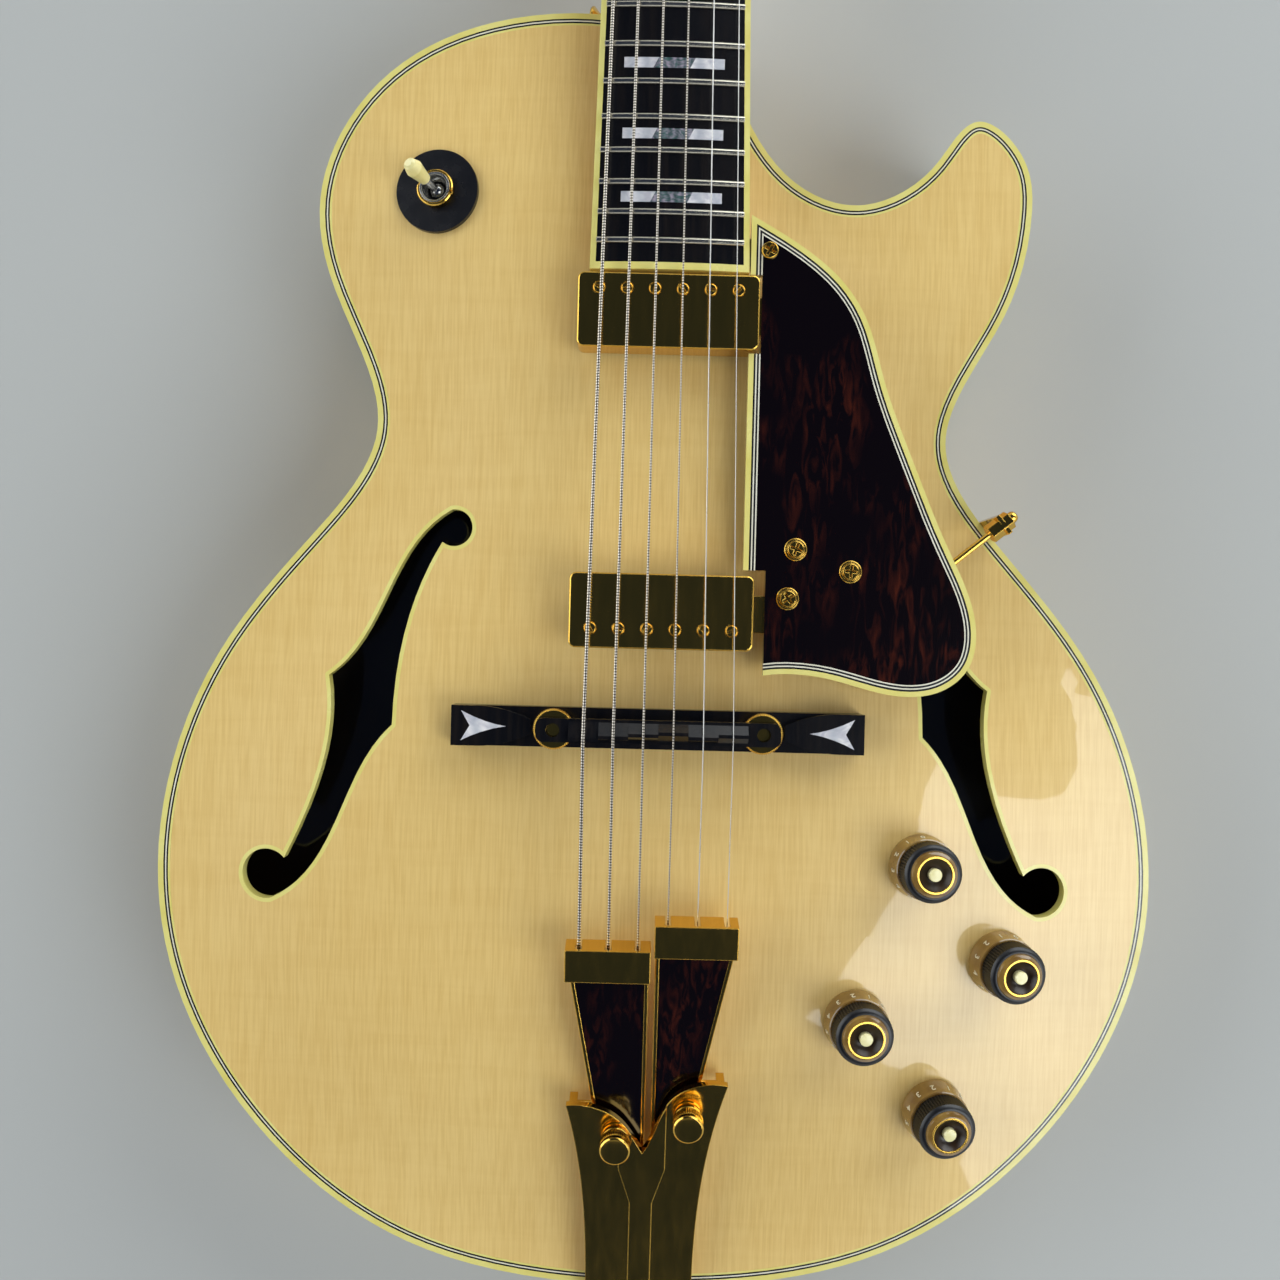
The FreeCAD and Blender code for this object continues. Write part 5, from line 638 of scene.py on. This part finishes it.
# Pickup switch: a lever on a ball in a threaded bushing, through a rubber-edged black ring, held by
# a notched nut. The ring and the cream tip are moulded, the nut is gold plated, the rest bright steel.
SWITCH_SEAT = Vector((-87.8, -86.31, 77.46))
SWITCH_WAY = Vector((-0.1414, 0.0444, 0.989))
NUT_IN = 5.85
NUT_OUT = 7.0
NUT_LOW = 2.05
NUT_HIGH = 5.0
NOTCH_DEEP = 1.1
NOTCH_TURN = math.radians(92)
NOTCH_HALF = 0.08  # sine of half the angle that a notch takes
dress(coil_plastic, "switch_ring")
dress(steel, "switch_lever", "controls")
cream_moulding = solid_plastic("cream_plastic_moulded", "#F1E7A6", "#E8DB8E", 6)
dress(cream_moulding, "switch_tip")


def notched(index, angle, radius, height):
    """Two opposite notches sawn in the top of the nut, for a spanner."""
    in_notch = abs(math.sin(angle - NOTCH_TURN)) < NOTCH_HALF
    return radius, height - NOTCH_DEEP if in_notch and index in (2, 3, 4) else height


nut = bmesh.new()
foot = [(NUT_IN, NUT_LOW), (NUT_OUT, NUT_LOW)]
top = [(NUT_OUT, NUT_HIGH - 0.4), (NUT_OUT - 0.4, NUT_HIGH), (NUT_IN, NUT_HIGH)]
turned(nut, foot + top, facing(SWITCH_SEAT * MM, SWITCH_WAY), 144, notched, closed=True)
piece("switch_nut", nut, gold, "guitar", "gold_plate", "fasteners")

# Control knobs: a moulded amber skirt with a dial printed round it, a ribbed rubber grip on its neck,
# and a clear cap over a gold ring and a cream pin. Pushed on the potentiometer shafts.
SKIRT = 12.1
SKIRT_EDGE = 2.8
SKIRT_LEAN = 0.12
NECK = 8.6
GRIP = 10.8
GRIP_RIBS = 60
CAP_TOP = 20.6
WELL_FLOOR = 17.4
RING_IN = 6.0
RING_OUT = 6.9
DIGIT_SIZE = 3.78
DIGIT_LEVEL = 6.2
DIGIT_STEP = math.radians(30)
KNOBS = ("knob_neck_volume", "knob_bridge_volume", "knob_neck_tone", "knob_bridge_tone")
# Amber is pale brown on the thin skirt, and the rubber has a soft sheen.
# The well under the cap is a darker amber copy, painted near black as painted shade.
amber = solid_plastic("amber_plastic_moulded", "#957538", "#6B4B1E", 7, roughness=0.16, coat=1.0)
amber_in_painted_shade = solid_plastic("amber_plastic_in_shade", "#33200D", "#1E1207", 4, roughness=0.3, coat=0.0)
rubber = solid_plastic("black_rubber_moulded", "#0E0E11", "#161618", 3, roughness=0.32, coat=0.0)
dial_paint = solid_plastic("pale_dial_print", "#E6DFC4", "#D3C8A2", 3, roughness=0.5, coat=0.0)
cream_pin = solid_plastic("cream_pin_moulded", "#F3EBB4", "#E7DC97", 3)


def dial():
    """The dial's numerals, wrapped on the skirt's sloping side."""
    marks = bmesh.new()
    for number in range(11):
        text = bpy.data.curves.new("numeral", "FONT")
        text.body = str(number)
        text.size = DIGIT_SIZE
        text.align_x = "CENTER"
        text.align_y = "CENTER"
        text.extrude = 0.08
        holder = bpy.data.objects.new("numeral", text)
        flat = bpy.data.meshes.new_from_object(holder)
        first = len(marks.verts)
        marks.from_mesh(flat)
        marks.verts.ensure_lookup_table()
        for vert in list(marks.verts)[first:]:
            across, up, out = vert.co
            height = DIGIT_LEVEL + up
            reach = SKIRT - SKIRT_LEAN * (height - SKIRT_EDGE) + 0.02 + out
            angle = number * DIGIT_STEP + across / SKIRT
            vert.co = Vector((reach * math.cos(angle), reach * math.sin(angle), height)) * MM
        bpy.data.objects.remove(holder)
        bpy.data.curves.remove(text)
        bpy.data.meshes.remove(flat)
    return marks


for knob in KNOBS:
    seat = seat_of(f"{knob}_turn")
    skirt = bmesh.new()
    foot = [(0, 0.9), (SKIRT - 0.3, 0.9), (SKIRT, 1.2), (SKIRT, 2.4)]
    flare = [(SKIRT - SKIRT_LEAN, SKIRT_EDGE), (11.3, 9.5), (10.9, 9.8), (NECK, 9.8), (NECK, 18.9)]
    cap = [(8.2, 19.9), (7.4, 20.4), (RING_OUT, CAP_TOP), (RING_IN, CAP_TOP)]
    turned(skirt, foot + flare + cap + [(RING_IN, WELL_FLOOR), (0, WELL_FLOOR)], Matrix(), 96)
    piece(f"{knob}_skirt", skirt, amber, knob, "amber_knob", knob, place=seat)
    grip = bmesh.new()
    wall = [(NECK, 9.9), (GRIP - 0.5, 9.9), (GRIP, 10.3), (GRIP, 16.6)]
    shoulder = [(GRIP - 0.2, 17.6), (GRIP - 0.8, 18.4), (GRIP - 1.6, 18.8), (NECK, 18.8)]
    ribs = knurled((2, 3), GRIP_RIBS, 0.7)
    turned(grip, wall + shoulder, Matrix(), 4 * GRIP_RIBS, ribs, closed=True)
    piece(f"{knob}_grip", grip, rubber, knob, "black_plastic", knob, place=seat)
    ring = bmesh.new()
    under = [(RING_IN, CAP_TOP), (RING_OUT, CAP_TOP)]
    over = [(RING_OUT - 0.1, CAP_TOP + 0.2), (RING_IN + 0.1, CAP_TOP + 0.2)]
    turned(ring, under + over, Matrix(), 64, closed=True)
    piece(f"{knob}_ring", ring, gold, knob, "gold_plate", knob, place=seat)
    # The well is painted near-black brown, as painted shade deep under the clear cap.
    well = bmesh.new()
    under = [(0, WELL_FLOOR + 0.05), (RING_IN - 0.05, WELL_FLOOR + 0.05), (RING_IN - 0.05, CAP_TOP)]
    dish = [(5.6, 20.1), (4.2, 18.9), (3.0, 18.3), (0, 18.2)]
    turned(well, under + dish, Matrix(), 64)
    piece(f"{knob}_well", well, amber_in_painted_shade, knob, "amber_knob", knob, place=seat)
    pin = bmesh.new()
    turned(pin, [(0, 18.1), (2.4, 18.1), (2.4, 20.4), (2.1, 20.8), (0, 20.95)], Matrix(), 40)
    piece(f"{knob}_pin", pin, cream_pin, knob, "cream_tip", knob, place=seat)
    piece(f"{knob}_dial", dial(), dial_paint, knob, "cream_tip", knob, place=seat)

# Jack and strap buttons: a threaded socket with its plate in the rim, and two turned buttons,
# each held by a cross-head screw, on the heel and on the tail. Brass, gold plated.
HEEL_BUTTON = ((-20.25, -4.81, 44.0), (-0.9867, 0, -0.1625))
TAIL_BUTTON = ((0, TAIL_FACE, 46.0), (0, -1, 0))
BUTTON_TOP = 13.3
BUTTON_SCREW = {"radius": 3.2, "height": 0.8, "bore": 1.9, "arms": 2, "gap": 0.6}
dress(gold, "output_jack")
buttons = bmesh.new()
for spot, way in (HEEL_BUTTON, TAIL_BUTTON):
    seat = facing(Vector(spot) * MM, way)
    foot = [(0, 0), (5.6, 0), (5.5, 0.8), (4.3, 1.9), (4.0, 2.6), (4.0, 8.6), (4.4, 9.6), (6.2, 10.9)]
    face = [(6.9, 11.4), (7.0, 12.0), (6.7, 12.6), (5.0, 13.2), (3.4, BUTTON_TOP), (0, BUTTON_TOP)]
    turned(buttons, foot + face, seat, 64)
    screw_seat = seat @ Matrix.Translation((0, 0, (BUTTON_TOP - 0.1) * MM))
    driven_head(buttons, screw_seat, **BUTTON_SCREW)
piece("strap_buttons", buttons, gold, "guitar", "gold_plate", "fasteners")

# Studio: a pale floor that fades into pale walls, a soft lamp over the tail's treble side, two broad
# fills, a room that is dark overhead, and a camera that looks straight down on the body. In metres.
FLOOR_COLOUR = "#B9BBB8"
WALL_COLOUR = "#ECF0F3"
OVERHEAD_COLOUR = "#2B3448"
FLOOR_SIZE = 6
FADE_START = 0.9
FADE_END = 2.6
bpy.ops.mesh.primitive_plane_add(size=FLOOR_SIZE, location=(0, 0, cad_low.z))
floor = bpy.context.object
floor.name = "floor"
paper, tree, shader = finish_of("studio_paper", Roughness=0.9, Base_Color=linear(FLOOR_COLOUR))
# Far from the guitar the paper fades into the walls, for the eye and for mirrors.
rays = add(tree, "LightPath").outputs
seen = add(tree, "Math", {0: rays["Is Camera Ray"], 1: rays["Is Glossy Ray"]}, operation="ADD")
seen = add(tree, "Math", {0: seen.outputs[0], 1: rays["Is Transmission Ray"]}, operation="ADD",
           use_clamp=True)
away = add(tree, "VectorMath", {0: add(tree, "TexCoord").outputs["Object"]}, operation="LENGTH")
faded = add(tree, "MapRange", {"Value": away.outputs["Value"], "From Min": FADE_START,
                               "From Max": FADE_END})
share = add(tree, "Math", {0: seen.outputs[0], 1: faded.outputs[0]}, operation="MULTIPLY")
haze = add(tree, "Emission", {"Color": linear(WALL_COLOUR)})
blended = add(tree, "MixShader", {0: share.outputs[0], 1: shader.outputs[0], 2: haze.outputs[0]})
tree.links.new(blended.outputs[0], tree.nodes["Material Output"].inputs["Surface"])
floor.data.materials.append(paper)
DAYLIGHT = (0.94, 0.98, 1.0)


def soft_lamp(name, place, aim, wide, high, power):
    """A rectangular lamp that points at a spot and isn't itself in the picture."""
    lamp = bpy.data.lights.new(name, "AREA")
    lamp.shape = "RECTANGLE"
    lamp.size = wide
    lamp.size_y = high
    lamp.energy = power
    lamp.color = DAYLIGHT
    holder = bpy.data.objects.new(name, lamp)
    holder.visible_camera = False
    holder.location = place
    holder.rotation_mode = "QUATERNION"
    holder.rotation_quaternion = (Vector(aim) - Vector(place)).to_track_quat("-Z", "Y")
    bpy.context.scene.collection.objects.link(holder)


body_middle = (0, saddle_line, 0.08)
soft_lamp("window_lamp", (1.12, saddle_line - 0.62, 1.5), body_middle, 1.1, 1.3, 17.5)
soft_lamp("fill_lamp", (-2.4, saddle_line + 0.5, 1.3), body_middle, 3.0, 2.2, 46)
soft_lamp("head_lamp", (1.6, saddle_line + 2.2, 1.3), body_middle, 3.0, 2.2, 62)
world = bpy.data.worlds.new("dim_room")
world.use_nodes = True
tree = world.node_tree
height = add(tree, "SeparateXYZ", {0: add(tree, "TexCoord").outputs["Generated"]})
share = add(tree, "MapRange", {"Value": height.outputs[2], "From Min": 0.38, "From Max": 0.58})
walls = add(tree, "Mix", {0: share.outputs[0], 6: linear(WALL_COLOUR), 7: linear(OVERHEAD_COLOUR)},
            data_type="RGBA")
tree.links.new(walls.outputs[2], tree.nodes["Background"].inputs["Color"])
bpy.context.scene.world = world
bpy.context.scene.view_settings.view_transform = "Standard"

CAMERA_LENS = 36.28
CAMERA_HEIGHT = 0.565
CAMERA_ACROSS = -0.0073
CAMERA_AHEAD = 0.0327
CAMERA_ROLL = math.radians(1.45)
camera_data = bpy.data.cameras.new("camera")
camera_data.lens = CAMERA_LENS
camera_data.sensor_width = 36
camera = bpy.data.objects.new("camera", camera_data)
camera.location = (CAMERA_ACROSS, saddle_line + CAMERA_AHEAD, CAMERA_HEIGHT)
camera.rotation_euler = (0, 0, CAMERA_ROLL)
bpy.context.scene.collection.objects.link(camera)
bpy.context.scene.camera = camera
